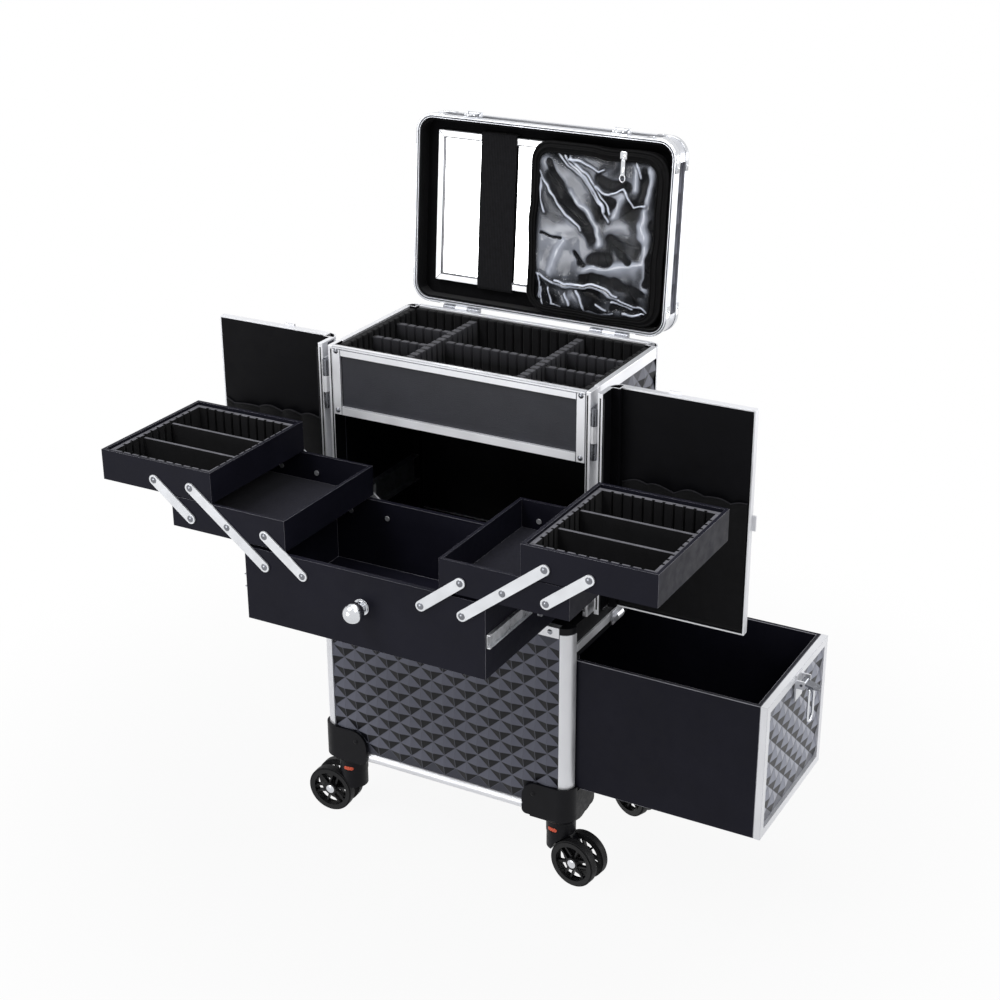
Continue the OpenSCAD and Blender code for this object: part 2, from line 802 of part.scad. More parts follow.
module lid_frame() {
    s0 = lid_z0 + lid_band;
    s1 = lid_z1 - lid_band;
    color("silver") lid_swing() {
        lid_ring(0, lid_wall, lid_z0, s0);
        lid_ring(0, lid_wall, s1, lid_z1 - lid_wall);
        // upper edge, turned over the top panel
        lid_ring(lid_wall / 2, lid_band, lid_z1 - lid_wall, lid_z1);
        // corner plates
        intersection() {
            lid_ring(0, lid_wall, s0, s1);
            corners() box(hw - lid_r - 4, hw + 1, hd - lid_r - 4, hd + 1, s0, s1);
        }
        both_sides() {
            // hinge leaf, running up the lid's back
            translate([lid_hinge_x - lid_hinge_l / 2, lid_axis_y, 0]) rotate([90, 0, 90])
                leaf(lid_hinge_l, [1], false);
            translate([lid_hinge_x, hd, 0])
                box(-lid_hinge_l / 2, lid_hinge_l / 2, -1, 0.5, lid_z0 + 5, s0 - 1);
            // base of a hasp with two ears and the pin it turns on
            translate([hasp_x, hasp_y, hasp_z]) {
                box(-hasp_w / 2 - 3, hasp_w / 2 + 3, 2.8, yf - hasp_y, -9, 5);
                box(-hasp_w / 2, hasp_w / 2, 3, yf - hasp_y + 1, -8, -1);
                for (s = [-1, 1]) translate([s * (hasp_w / 2 + 1.8), 0, 0])
                    box(-1.2, 1.2, -2.4, 3, -2.4, 2.4);
                rotate([0, 90, 0]) cylinder(r = hasp_pin, h = hasp_w + 4, center = true);
            }
        }
    }
}

module lid_panels() {
    s0 = lid_z0 + lid_band;
    s1 = lid_z1 - lid_band;
    lx = hw - lid_r - 4;
    ly = hd - lid_r - 4;
    px = hw - lid_band;
    py = hd - lid_band;
    color("#26262b") lid_swing() {
        for (a = [0, 180]) {
            rotate(a) translate([0, yf + lid_wall, 0]) diamond_wall(2 * lx, s0, s1, lid_wall - 2, 1.6);
        }
        for (a = [90, -90]) {
            rotate(a) translate([0, -hw + lid_wall, 0]) diamond_wall(2 * ly, s0, s1, lid_wall - 2, 1.6);
        }
        translate([-px + 6, -py + 6, lid_z1 - lid_wall])
            diamond_plate(2 * (px - 6), 2 * (py - 6), 1.4, 2.4);
        translate([0, 0, lid_z1 - lid_wall]) linear_extrude(1.4) difference() {
            rounded2d(px, py, lid_r - lid_band);
            translate([-px + 6, -py + 6]) square([2 * (px - 6), 2 * (py - 6)]);
        }
    }
}

module lid_lining() {
    color("#131315") lid_swing() difference() {
        translate([0, 0, lid_z0 + 2]) linear_extrude(lid_z1 - lid_wall - lid_z0 - 2)
            rounded2d(hw - lid_wall, hd - lid_wall, lid_r - lid_wall);
        translate([0, 0, lid_z0]) linear_extrude(lid_floor - lid_z0)
            rounded2d(hw - lid_in, hd - lid_in, lid_r - lid_in);
    }
}

mirror_x0 = -hw + mirror_x;
mirror_y1 = hd - lid_in - mirror_back;
mirror_l = mirror_y1 + hd - lid_in - mirror_front;
mirror_z0 = lid_floor - mirror_t;
strap_x0 = mirror_x0 + strap_x;

module mirror_frame() {
    e = mirror_edge;
    color("#e8e8ea") lid_swing() translate([mirror_x0, mirror_y1 - mirror_l, mirror_z0]) difference() {
        cube([mirror_w, mirror_l, mirror_t]);
        translate([e, e, -1]) cube([mirror_w - 2 * e, mirror_l - 2 * e, 3]);
        translate([e - 2, e - 2, 2]) cube([mirror_w - 2 * e + 4, mirror_l - 2 * e + 4, mirror_t - 4]);
    }
}

module mirror_glass() {
    e = mirror_edge - 2;
    color("#dfe9ef") lid_swing() translate([mirror_x0 + e, mirror_y1 - mirror_l + e, mirror_z0 + 2])
        cube([mirror_w - 2 * e, mirror_l - 2 * e, mirror_t - 4]);
}

// Elastic band over the mirror, turned back to the lining at both ends
module mirror_strap() {
    y0 = mirror_y1 - mirror_l;
    z0 = mirror_z0 - slip - strap_t;
    color("#0d0d0f") lid_swing() {
        box(strap_x0, strap_x0 + strap_w, y0 - 4, mirror_y1 + 4, z0, z0 + strap_t);
        box(strap_x0, strap_x0 + strap_w, y0 - 4, y0 - 4 + strap_t, z0, lid_floor);
        box(strap_x0, strap_x0 + strap_w, mirror_y1 + 4 - strap_t, mirror_y1 + 4, z0, lid_floor);
    }
}

bag_x1 = hw - lid_in - 1;
bag_y1 = hd - lid_in - 1;
bag_w = bag_x1 - strap_x0 - strap_w - bag_gap;
bag_l = bag_y1 + hd - lid_in - bag_front;

module clear_bag() {
    z1 = mirror_z0 - slip;
    color("#4a4c55") lid_swing() translate([bag_x1 - bag_w / 2, bag_y1 - bag_l / 2, z1 - bag_t])
        linear_extrude(bag_t) rounded2d(bag_w / 2, bag_l / 2, 20);
}

// Hasp that folds down over the door's strike; its knuckle turns on the lid's front
hasp_y = yf - 4;
hasp_z = lid_z0 + lid_band - 1;
hasp_pin = 1.2;

module hasp(s) {
    color("#c9ccd1") lid_swing() translate([s * hasp_x, hasp_y, 0]) difference() {
        union() {
            translate([0, 0, hasp_z]) rotate([0, 90, 0]) cylinder(r = 2.4, h = hasp_w, center = true);
            box(-hasp_w / 2, hasp_w / 2, -0.8, 0.8, -1, hasp_z);
            translate([0, 0.8, -1]) rotate([90, 0, 0]) cylinder(r = hasp_w / 2 - 2, h = 1.6);
        }
        translate([0, 0, hasp_z]) rotate([0, 90, 0])
            cylinder(r = hasp_pin + run, h = hasp_w + 2, center = true);
    }
}

module left_hasp() hasp(-1);

module right_hasp() hasp(1);

// doors, drawn closed on the right and then swung round the hinge by a half turn

module door_place(s) {
    side(s) translate([2 * hinge_x, 2 * yu, 0]) rotate(180) children();
}

door_x0 = door_meet;
door_y1 = yf + door_t;
ret_x0 = hw - wall;

module door_panel(s) {
    e = door_edge;
    color("#26262b") door_place(s) {
        // board of the door with its inner black face, and the narrow return beside the hinge
        box(door_x0 + skin, hw - post_r, yf + plate + 1, door_y1, door_z0 + skin, door_z1 - skin);
        box(ret_x0 + 1, hw - 1, yf + post_r, yu - 12, door_z0 + skin, door_z1 - skin);
        translate([(door_x0 + e + hw - post_r) / 2, yf + plate + 1, 0])
            diamond_wall(hw - post_r - door_x0 - e, door_z0 + e, door_z1 - e, 1, peak);
    }
}

// Aluminium edge of a door: channel round the board, rounded front corner and hinge stile
module door_frame(s) {
    e = door_edge;
    x1 = hw - post_r;
    color("silver") door_place(s) {
        difference() {
            box(door_x0, x1, yf, door_y1, door_z0, door_z1);
            box(door_x0 + skin, x1 + 1, yf + plate + 1, door_y1 + 1, door_z0 + skin, door_z1 - skin);
            box(door_x0 + e, x1 + 1, yf - 1, door_y1, door_z0 + e, door_z1 - e);
        }
        mirror([0, 1, 0]) post(door_z0, door_z1);
        box(ret_x0, hw, yu - 12, yu - seat, door_z0, door_z1);
        difference() {
            box(ret_x0, hw, yf + post_r, yu - 12, door_z0, door_z1);
            box(ret_x0 - 1, hw + 1, yf, yu, door_z0 + skin, door_z1 - skin);
        }
        for (z = hinge_z) {
            translate([hinge_x, yu, z]) mirror([0, 1, 0]) leaf(hinge_l, [1], false);
            box(hw - 0.6, hw + 0.5, yu - 11, yu - hinge_off - 1, z + 1, z + hinge_l - 1);
        }
        // strike for the lid's hasp
        box(hasp_x - hasp_w / 2, hasp_x + hasp_w / 2, yf - 2.2, yf, door_z1 - 18, door_z1 + 2);
        box(hasp_x - hasp_w / 2 + 1, hasp_x + hasp_w / 2 - 1, yf - 1, yf + 1, door_z1 - e + 1, door_z1 - 1);
    }
    if (s > 0) {
        // turn latch on the meeting edge
        color("silver") door_place(s) {
            zm = (door_z0 + door_z1) / 2;
            box(-3, door_x0 + 14, yf - 2.4, yf, zm - 9, zm + 9);
            box(door_x0 + 1, door_x0 + e - 1, yf - 1, yf + 1, zm - 8, zm + 8);
        }
    }
}

module left_door_panel() door_panel(-1);

module left_door_frame() door_frame(-1);

module right_door_panel() door_panel(1);

module right_door_frame() door_frame(1);

// front drawer

module pivot_holes(xs, z, y0, y1) {
    for (x = xs) translate([x, y1 + 1, z]) rotate([90, 0, 0]) cylinder(r = rivet_r + run, h = y1 - y0 + 2);
}

module front_drawer() {
    color("#1a1a1d") difference() {
        open_box(-drawer_hw, drawer_hw, drawer_y0, drawer_y1, drawer_z0, drawer_z1, drawer_wall, 5);
        both_sides() pivot_holes([pivot_x, pivot_x + pivot_dx], pivot_z0, drawer_y0, drawer_y1);
    }
}

module drawer_knob() {
    r = knob_d / 2;
    neck = 6;
    color("#e4e6ea") translate([0, drawer_y0, drawer_z0 + knob_z]) rotate([90, 0, 0]) {
        rotate_extrude() union() {
            square([9.5, 1.6]);
            square([7.5, 3]);
            square([4.5, neck + 3]);
        }
        translate([0, 0, neck + r - 1]) sphere(r = r);
    }
}

module drawer_slide_inner() {
    t = slide_t;
    z0 = slide_z + slide_lip;
    z1 = slide_z + slide_h - slide_lip;
    y0 = drawer_y0 + 2;
    y1 = y0 + slide_l + drawer_proud;
    color("#b8bcc2") both_sides() difference() {
        box(drawer_hw, drawer_hw + slide_in, y0, y1, z0, z1);
        box(drawer_hw + t, hw, y0 - 1, y1 + 1, z0 + t, z1 - t);
    }
}

// Middle members, half way out, with balls' tracks left plain
module drawer_slide_middle() {
    t = slide_t;
    y0 = yu + 2 - drawer_travel / 2;
    x0 = drawer_hw + slide_in + slip;
    x1 = hw - wall - t - slip;
    z0 = slide_z + t + slip;
    z1 = slide_z + slide_h - t - slip;
    color("#c2c6cc") both_sides() {
        box(x0, x0 + t, y0, y0 + slide_l, z0, z1);
        box(x0, x1, y0, y0 + slide_l, z0, z0 + t);
        box(x0, x1, y0, y0 + slide_l, z1 - t, z1);
    }
}

// cantilever trays, drawn for the right side

module tray(s, x0, z0, xs) {
    color("#1d1d20") side(s) difference() {
        open_box(x0, x0 + tray_w, drawer_y0, drawer_y1, z0, z0 + tray_h, tray_wall, tray_floor);
        pivot_holes(xs, z0 + pivot_z, drawer_y0, drawer_y1);
    }
}

module lower_tray(s) {
    x = pivot_x + arm_dx;
    tray(s, lower_x0, lower_z0, [x, x + pivot_dx, x + 2 * pivot_dx]);
}

module upper_tray(s) {
    x = pivot_x + pivot_dx + 2 * arm_dx;
    tray(s, upper_x0, upper_z0, [x, x + pivot_dx]);
}

// Ribbed lining of an upper tray with its two dividers
module tray_lining(s) {
    t = tray_wall + slip;
    l = tray_foam;
    x0 = upper_x0 + t + l;
    x1 = upper_x0 + tray_w - t - l;
    y0 = drawer_y0 + t + 2 + l;
    y1 = drawer_y1 - t - 2 - l;
    z0 = upper_z0 + tray_floor;
    z1 = upper_z0 + tray_h - 3;
    third = (y1 - y0) / 3;
    color("#161618") side(s) {
        ribbed_room(x0, x1, y0, y1, l, [l, l], z0, z1);
        for (k = [1, 2]) {
            box(x0 + run, x1 - run, y0 + k * third - 2, y0 + k * third + 2, z0, z1 - 3);
        }
    }
}

// Flat bar with round ends in the plane y = 0, towards -y
module bar(p, q) {
    v = q - p;
    translate([p[0], 0, p[1]]) rotate([90, 0, 0]) linear_extrude(arm_t) rotate(atan2(v[1], v[0])) {
        circle(r = arm_w / 2);
        translate([norm(v), 0]) circle(r = arm_w / 2);
        translate([0, -arm_w / 2]) square([norm(v), arm_w]);
    }
}

// Rivet through an arm and a tray wall: dome outside, shank, flat head inside
module arm_rivet(p, grip) {
    translate([p[0], 0, p[1]]) rotate([90, 0, 0]) {
        translate([0, 0, arm_t]) dome(4, 1.6);
        translate([0, 0, -grip - arm_gap]) cylinder(r = rivet_r, h = grip + arm_gap + arm_t);
        translate([0, 0, -grip - arm_gap - slip - 1]) cylinder(r = rivet_r + 0.8, h = 1);
        translate([0, 0, -grip - arm_gap - slip - 0.5]) cylinder(r = rivet_r, h = slip + 1);
    }
}

// The same arm on the front and on the rear. pts are the pivots, grips the walls they go through.
module arms(s, pts, grips) {
    n = len(pts) - 1;
    color("#d5d7db") side(s) {
        translate([0, drawer_y0 - arm_gap, 0]) {
            bar(pts[0], pts[n]);
            for (k = [0:n]) arm_rivet(pts[k], grips[k]);
        }
        translate([0, drawer_y1 + arm_gap, 0]) mirror([0, 1, 0]) {
            bar(pts[0], pts[n]);
            for (k = [0:n]) arm_rivet(pts[k], grips[k]);
        }
    }
}

function pivot(x, k) = [x + k * arm_dx, pivot_z0 + k * arm_dz];

module long_arms(s) {
    x = pivot_x + pivot_dx;
    arms(s, [pivot(x, 0), pivot(x, 1), pivot(x, 2)], [drawer_wall, tray_wall, tray_wall]);
}

module lower_arms(s) {
    arms(s, [pivot(pivot_x, 0), pivot(pivot_x, 1)], [drawer_wall, tray_wall]);
}

module upper_arms(s) {
    x = pivot_x + 2 * pivot_dx;
    arms(s, [pivot(x, 1), pivot(x, 2)], [tray_wall, tray_wall]);
}

module left_lower_tray() lower_tray(-1);

module right_lower_tray() lower_tray(1);

module left_upper_tray() upper_tray(-1);

module right_upper_tray() upper_tray(1);

module left_tray_lining() tray_lining(-1);

module right_tray_lining() tray_lining(1);

module left_long_arms() long_arms(-1);

module right_long_arms() long_arms(1);

module left_lower_arms() lower_arms(-1);

module right_lower_arms() lower_arms(1);

module left_upper_arms() upper_arms(-1);

module right_upper_arms() upper_arms(1);

// side drawer

module side_drawer() {
    color("#19191c") open_box(side_x0, side_x1 - face_t, -side_y, side_y, side_z0, side_z1, side_wall, 5);
}

module side_drawer_face() {
    e = face_w;
    color("#26262b") {
        translate([side_x1 - face_t, 0, 0]) rotate(90)
            diamond_wall(2 * (side_y - e), side_z0 + e, side_z1 - e, face_t - peak - 1, peak);
    }
}

module side_drawer_frame() {
    e = face_w;
    color("silver") {
        difference() {
            box(side_x1 - face_t, side_x1, -side_y, side_y, side_z0, side_z1);
            box(side_x1 - face_t - 1, side_x1 + 1, -side_y + e, side_y - e, side_z0 + e, side_z1 - e);
        }
        // base of the toggle latch with the two ears that carry its lever
        box(side_x1 - 0.5, side_x1 + 1.5, -latch_w / 2, latch_w / 2, latch_z - 22, side_z1 - 1);
        for (s = [-1, 1]) difference() {
            box(side_x1 + 1, latch_px + 4, s * (latch_w / 2 - 1) - 1, s * (latch_w / 2 - 1) + 1,
                latch_z - 5, latch_z + 5);
            translate([latch_px, 20, latch_z]) rotate([90, 0, 0]) cylinder(r = 1.6 + run, h = 40);
        }
    }
}

module side_runner_inner() {
    color("#b8bcc2") for (s = [-1, 1]) translate([0, s * runner_y, 0]) {
        x0 = side_x0 + 4;
        x1 = side_x1 - face_t - 4;
        zf = side_z0 - runner_h * 2 / 3;
        box(x0, x1, -runner_neck, runner_neck, zf, side_z0);
        box(x0, x1, -runner_foot, runner_foot, side_z0 - runner_h, zf);
    }
}

// Toggle lever, standing out from the face, with a rounded tab and a boss for the bail
bail_px = latch_px + 9;
bail_pz = latch_z - 5.5;
lever_w = latch_w / 2 - 4.8;

module latch_lever() {
    bx = bail_px - latch_px;
    bz = bail_pz - latch_z;
    color("#d8dade") translate([latch_px, 0, latch_z]) {
        rotate([90, 0, 0]) cylinder(r = 1.6, h = latch_w, center = true);
        rotate([90, 0, 0]) linear_extrude(2 * lever_w, center = true) difference() {
            union() {
                circle(r = 3.2);
                rotate(-14) translate([0, -1.2]) square([14, 2.4]);
                translate([bx, bz]) circle(r = 2.8);
            }
            translate([bx, bz]) circle(r = bail_r + run);
        }
        rotate([0, 14, 0]) translate([13, 0, -1.1]) cylinder(r = lever_w + 0.2, h = 2.2);
    }
}

// Wire bail, hanging from the lever, with a round lower end
module latch_bail() {
    w = lever_w + slip + bail_r;
    color("#c9ccd1") translate([bail_px, 0, bail_pz]) {
        for (s = [-1, 1]) translate([0, s * w, w - bail_l]) cylinder(r = bail_r, h = bail_l - w);
        rotate([90, 0, 0]) cylinder(r = bail_r, h = 2 * w, center = true);
        for (s = [-1, 1]) translate([0, s * w, 0]) sphere(r = bail_r);
        translate([0, 0, w - bail_l]) rotate([-90, 0, 90]) rotate_extrude(angle = 180)
            translate([w, 0]) circle(r = bail_r);
    }
}

// casters

module caster_place(k) {
    t = trails[k];
    translate([t[0] * caster_x, t[1] * caster_y, 0]) rotate(t[2]) children();
}

// Stem and the blade that runs down between the wheels, trailing towards +x
module caster_fork(k) {
    b = wheel_gap / 2 - 0.5;
    z1 = collar_z0 - slip;
    color("#1b1b1d") caster_place(k) {
        translate([0, 0, z1 - 1]) cylinder(r = stem_r, h = guard_z0 - z1 + 1);
        // round skirt under the collar, hollowed by the wheels, so that it ends in a point
        difference() {
            translate([0, 0, skirt_z0]) cylinder(r = collar_r - 0.6, h = z1 - skirt_z0);
            translate([trail, collar_r + 1, wheel_r]) rotate([90, 0, 0])
                cylinder(r = wheel_r + 1.5, h = 2 * collar_r + 2);
        }
        rotate([90, 0, 0]) translate([0, 0, -b]) linear_extrude(2 * b) difference() {
            union() {
                polygon([[-15, z1], [16, z1], [trail + 7, wheel_r + 4], [trail + 2, wheel_r - 8],
                    [trail - 5, wheel_r - 6], [4, z1 - 22], [-6, z1 - 20], [-13, z1 - 8]]);
                translate([trail, wheel_r]) circle(r = 8);
            }
            translate([trail, wheel_r]) circle(r = axle_r + run);
        }
    }
}

// Rim with a stepped tyre, hub, pairs of parallel spokes and single spokes between them
module wheel() {
    h = wheel_w;
    r = wheel_r - rim_t;
    rotate_extrude() translate([r, 0]) union() {
        translate([0, 1]) square([rim_t, h - 2]);
        square([rim_t - 2, h]);
    }
    cylinder(r = hub_r, h = h);
    for (i = [0:spokes - 1]) rotate(i * 360 / spokes + 12) {
        for (s = [-1, 1]) translate([hub_r - 3, s * spoke_w * 1.7 - spoke_w / 2, 3])
            cube([r - hub_r + 4, spoke_w, h - 6]);
        rotate(180 / spokes) translate([hub_r - 3, -spoke_w / 2, 3]) cube([r - hub_r + 4, spoke_w, h - 6]);
    }
}

module caster_wheels(k) {
    g = wheel_gap / 2;
    color("#161617") caster_place(k) translate([trail, 0, wheel_r]) {
        translate([0, g, 0]) rotate([-90, 0, 0]) wheel();
        translate([0, -g, 0]) rotate([90, 0, 0]) wheel();
        rotate([90, 0, 0]) cylinder(r = axle_r, h = 2 * g + 2, center = true);
        for (s = [-1, 1]) translate([0, s * (g + wheel_w), 0]) rotate([-s * 90, 0, 0]) dome(cap_r, 1.4);
    }
}

module caster_fork_fr() caster_fork(0);

module caster_fork_fl() caster_fork(1);

module caster_fork_rr() caster_fork(2);

module caster_fork_rl() caster_fork(3);

module caster_wheels_fr() caster_wheels(0);

module caster_wheels_fl() caster_wheels(1);

module caster_wheels_rr() caster_wheels(2);

module caster_wheels_rl() caster_wheels(3);

corner_posts();
lower_rails();
boards();
lower_panels();
upper_panels();
upper_frame();
fascia_frame();
compartment_lining();
dividers();
hinge_leaves();
slide_outer_members();
corner_guards();
rivets();
side_catch_rail();
handle_sleeves();
release_buttons();
lid_panels();
lid_frame();
lid_lining();
mirror_frame();
mirror_glass();
mirror_strap();
clear_bag();
left_hasp();
right_hasp();
left_door_panel();
left_door_frame();
right_door_panel();
right_door_frame();
front_drawer();
drawer_knob();
drawer_slide_inner();
drawer_slide_middle();
left_lower_tray();
left_upper_tray();
left_tray_lining();
left_long_arms();
left_lower_arms();
left_upper_arms();
right_lower_tray();
right_upper_tray();
right_tray_lining();
right_long_arms();
right_lower_arms();
right_upper_arms();
side_drawer();
side_drawer_face();
side_drawer_frame();
side_runner_inner();
latch_lever();
latch_bail();
caster_fork_fr();
caster_fork_fl();
caster_fork_rr();
caster_fork_rl();
caster_wheels_fr();
caster_wheels_fl();
caster_wheels_rr();
caster_wheels_rl();
pull_handle();
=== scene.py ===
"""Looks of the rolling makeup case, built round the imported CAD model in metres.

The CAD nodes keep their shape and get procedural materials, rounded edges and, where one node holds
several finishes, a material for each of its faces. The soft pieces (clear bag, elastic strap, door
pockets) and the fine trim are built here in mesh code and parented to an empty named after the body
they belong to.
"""

import math

import bpy
import numpy as np
from mathutils import Matrix, Vector

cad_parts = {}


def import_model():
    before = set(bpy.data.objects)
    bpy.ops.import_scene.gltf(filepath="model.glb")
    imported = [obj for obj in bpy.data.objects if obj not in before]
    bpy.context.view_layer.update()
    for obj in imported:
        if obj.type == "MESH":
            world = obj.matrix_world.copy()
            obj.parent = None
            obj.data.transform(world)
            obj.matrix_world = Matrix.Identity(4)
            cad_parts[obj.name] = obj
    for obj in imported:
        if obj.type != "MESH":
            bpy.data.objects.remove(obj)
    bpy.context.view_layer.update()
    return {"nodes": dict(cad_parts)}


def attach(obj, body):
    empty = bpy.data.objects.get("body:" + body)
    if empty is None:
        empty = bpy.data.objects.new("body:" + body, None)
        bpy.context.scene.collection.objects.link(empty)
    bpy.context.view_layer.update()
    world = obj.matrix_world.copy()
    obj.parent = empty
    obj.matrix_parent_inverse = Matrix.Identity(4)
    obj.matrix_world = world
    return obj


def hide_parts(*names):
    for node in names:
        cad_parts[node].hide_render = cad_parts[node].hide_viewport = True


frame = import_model()
NODES = frame["nodes"]

# ----------------------------------------
# sizes shared with the CAD model, in millimetres unless said otherwise

MM = 0.001
# half width and half depth of the case, and the height of its rim
HW, HD, ZR = 170.0, 114.0, 616.0
# the lid's hinge axis and opening angle; heights in the closed lid, from the rim
LID_AXIS_Y, LID_OPEN = 118.0, 94.6
LID_Z0, LID_Z1, LID_FLOOR = 0.6, 40.6, 19.6
# mirror frame as x0, x1, y0, y1 and the height of its face; width of its rails; sides of the strap
MIRROR = (-146.0, -5.0, -94.6, 88.4, 12.6)
MIRROR_RAIL = 8.0
STRAP = (-86.0, -39.0)
# clear bag and the film in it: centre, half sizes and corner radii; heights of the bag's edges and back
BAG_C, BAG_H, BAG_R = (74.0, 4.0), (88.0, 102.0), 24.0
FILM_C, FILM_H, FILM_R, WINDOW_R = (71.5, 6.5), (77.0, 93.0), 14.0, 15.0
BAG_FRONT, BAG_BACK, BAG_PANEL = 2.8, 11.4, 11.6
# outer faces of the arms at the front and the rear of the trays
ARM_Y = (-281.45, -96.55)
# height of the dividers' tops and spacing of their ribs, in metres
DIVIDER_TOP, RIB = 0.611, 0.012
# casters as (side, end, heading); place of a stem, trail and height of a hub, edges of hub cap and tread
CASTERS = {"fr": (1, -1, -8), "fl": (-1, -1, 184), "rr": (1, 1, -22), "rl": (-1, 1, 160)}
STEM_X, STEM_Y, TRAIL, HUB_Z = 147.0, 88.0, 27, 30.0
CAP_OUT, TREAD_R = 17.05, 28.6
# doors: pockets as x0, x1, z0, z1 and the face they are sewn to
POCKET, POCKET_Y = (196.0, 344.0, 355.0, 511.0), -43.4


def lid(p):
    """Point of the closed lid, z from the rim, to its place on the open lid, in metres."""
    p = np.asarray(p, float)
    a = math.radians(-LID_OPEN)
    c, s = math.cos(a), math.sin(a)
    y, z = p[..., 1] - LID_AXIS_Y, p[..., 2]
    out = np.stack([p[..., 0], y * c - z * s + LID_AXIS_Y, y * s + z * c + ZR], -1)
    return out * MM


def world(p):
    return np.asarray(p, float) * MM


# ----------------------------------------
# repeatable noise

def _hash(ix, iy, seed):
    h = (ix * 374761393 + iy * 668265263 + seed * 1442695041) & 0xFFFFFFFF
    h = ((h ^ (h >> 13)) * 1274126177) & 0xFFFFFFFF
    return ((h ^ (h >> 16)) & 0xFFFF) / 65535.0


def noise(x, y, seed):
    """Smooth value noise from -1 to 1."""
    x, y = np.asarray(x, float), np.asarray(y, float)
    ix, iy = np.floor(x).astype(np.int64), np.floor(y).astype(np.int64)
    fx, fy = x - ix, y - iy
    fx = fx * fx * fx * (fx * (fx * 6 - 15) + 10)
    fy = fy * fy * fy * (fy * (fy * 6 - 15) + 10)
    a, b = _hash(ix, iy, seed), _hash(ix + 1, iy, seed)
    c, d = _hash(ix, iy + 1, seed), _hash(ix + 1, iy + 1, seed)
    return ((a + (b - a) * fx) * (1 - fy) + (c + (d - c) * fx) * fy) * 2 - 1


# ----------------------------------------
# materials

# the range that most values of a texture fall in
TEXTURE_LO, TEXTURE_HI = 0.3, 0.7


def srgb(r, g, b):
    def lin(v):
        v /= 255.0
        return v / 12.92 if v <= 0.04045 else ((v + 0.055) / 1.055) ** 2.4
    return (lin(r), lin(g), lin(b), 1.0)


def shade(c, k):
    return (min(1, c[0] * k), min(1, c[1] * k), min(1, c[2] * k), 1.0)


class Tree:
    """Short ways to add nodes to a node tree."""

    def __init__(self, tree):
        self.t = tree

    def node(self, kind, **values):
        n = self.t.nodes.new(kind)
        for key, value in values.items():
            setattr(n, key, value)
        return n

    def link(self, a, b):
        self.t.links.new(a, b)

    def math(self, operation, a, *others):
        """Result of a Math node on an output and further outputs or numbers."""
        n = self.node("ShaderNodeMath", operation=operation)
        for socket, value in zip(n.inputs, (a, *others)):
            if isinstance(value, (int, float)):
                socket.default_value = value
            else:
                self.link(value, socket)
        return n.outputs[0]

    def ranged(self, fac, lo, hi, from_lo=0.0, from_hi=1.0, kind="LINEAR"):
        n = self.node("ShaderNodeMapRange", interpolation_type=kind)
        for key, value in (("From Min", from_lo), ("From Max", from_hi), ("To Min", lo), ("To Max", hi)):
            n.inputs[key].default_value = value
        self.link(fac, n.inputs["Value"])
        return n.outputs["Result"]

    def plain_view(self):
        """1 for the rays that see the background, straight, in a reflection or through a film."""
        path = self.node("ShaderNodeLightPath").outputs
        near = self.math("MAXIMUM", path["Is Camera Ray"], path["Is Glossy Ray"])
        return self.math("MAXIMUM", near, path["Is Transmission Ray"])


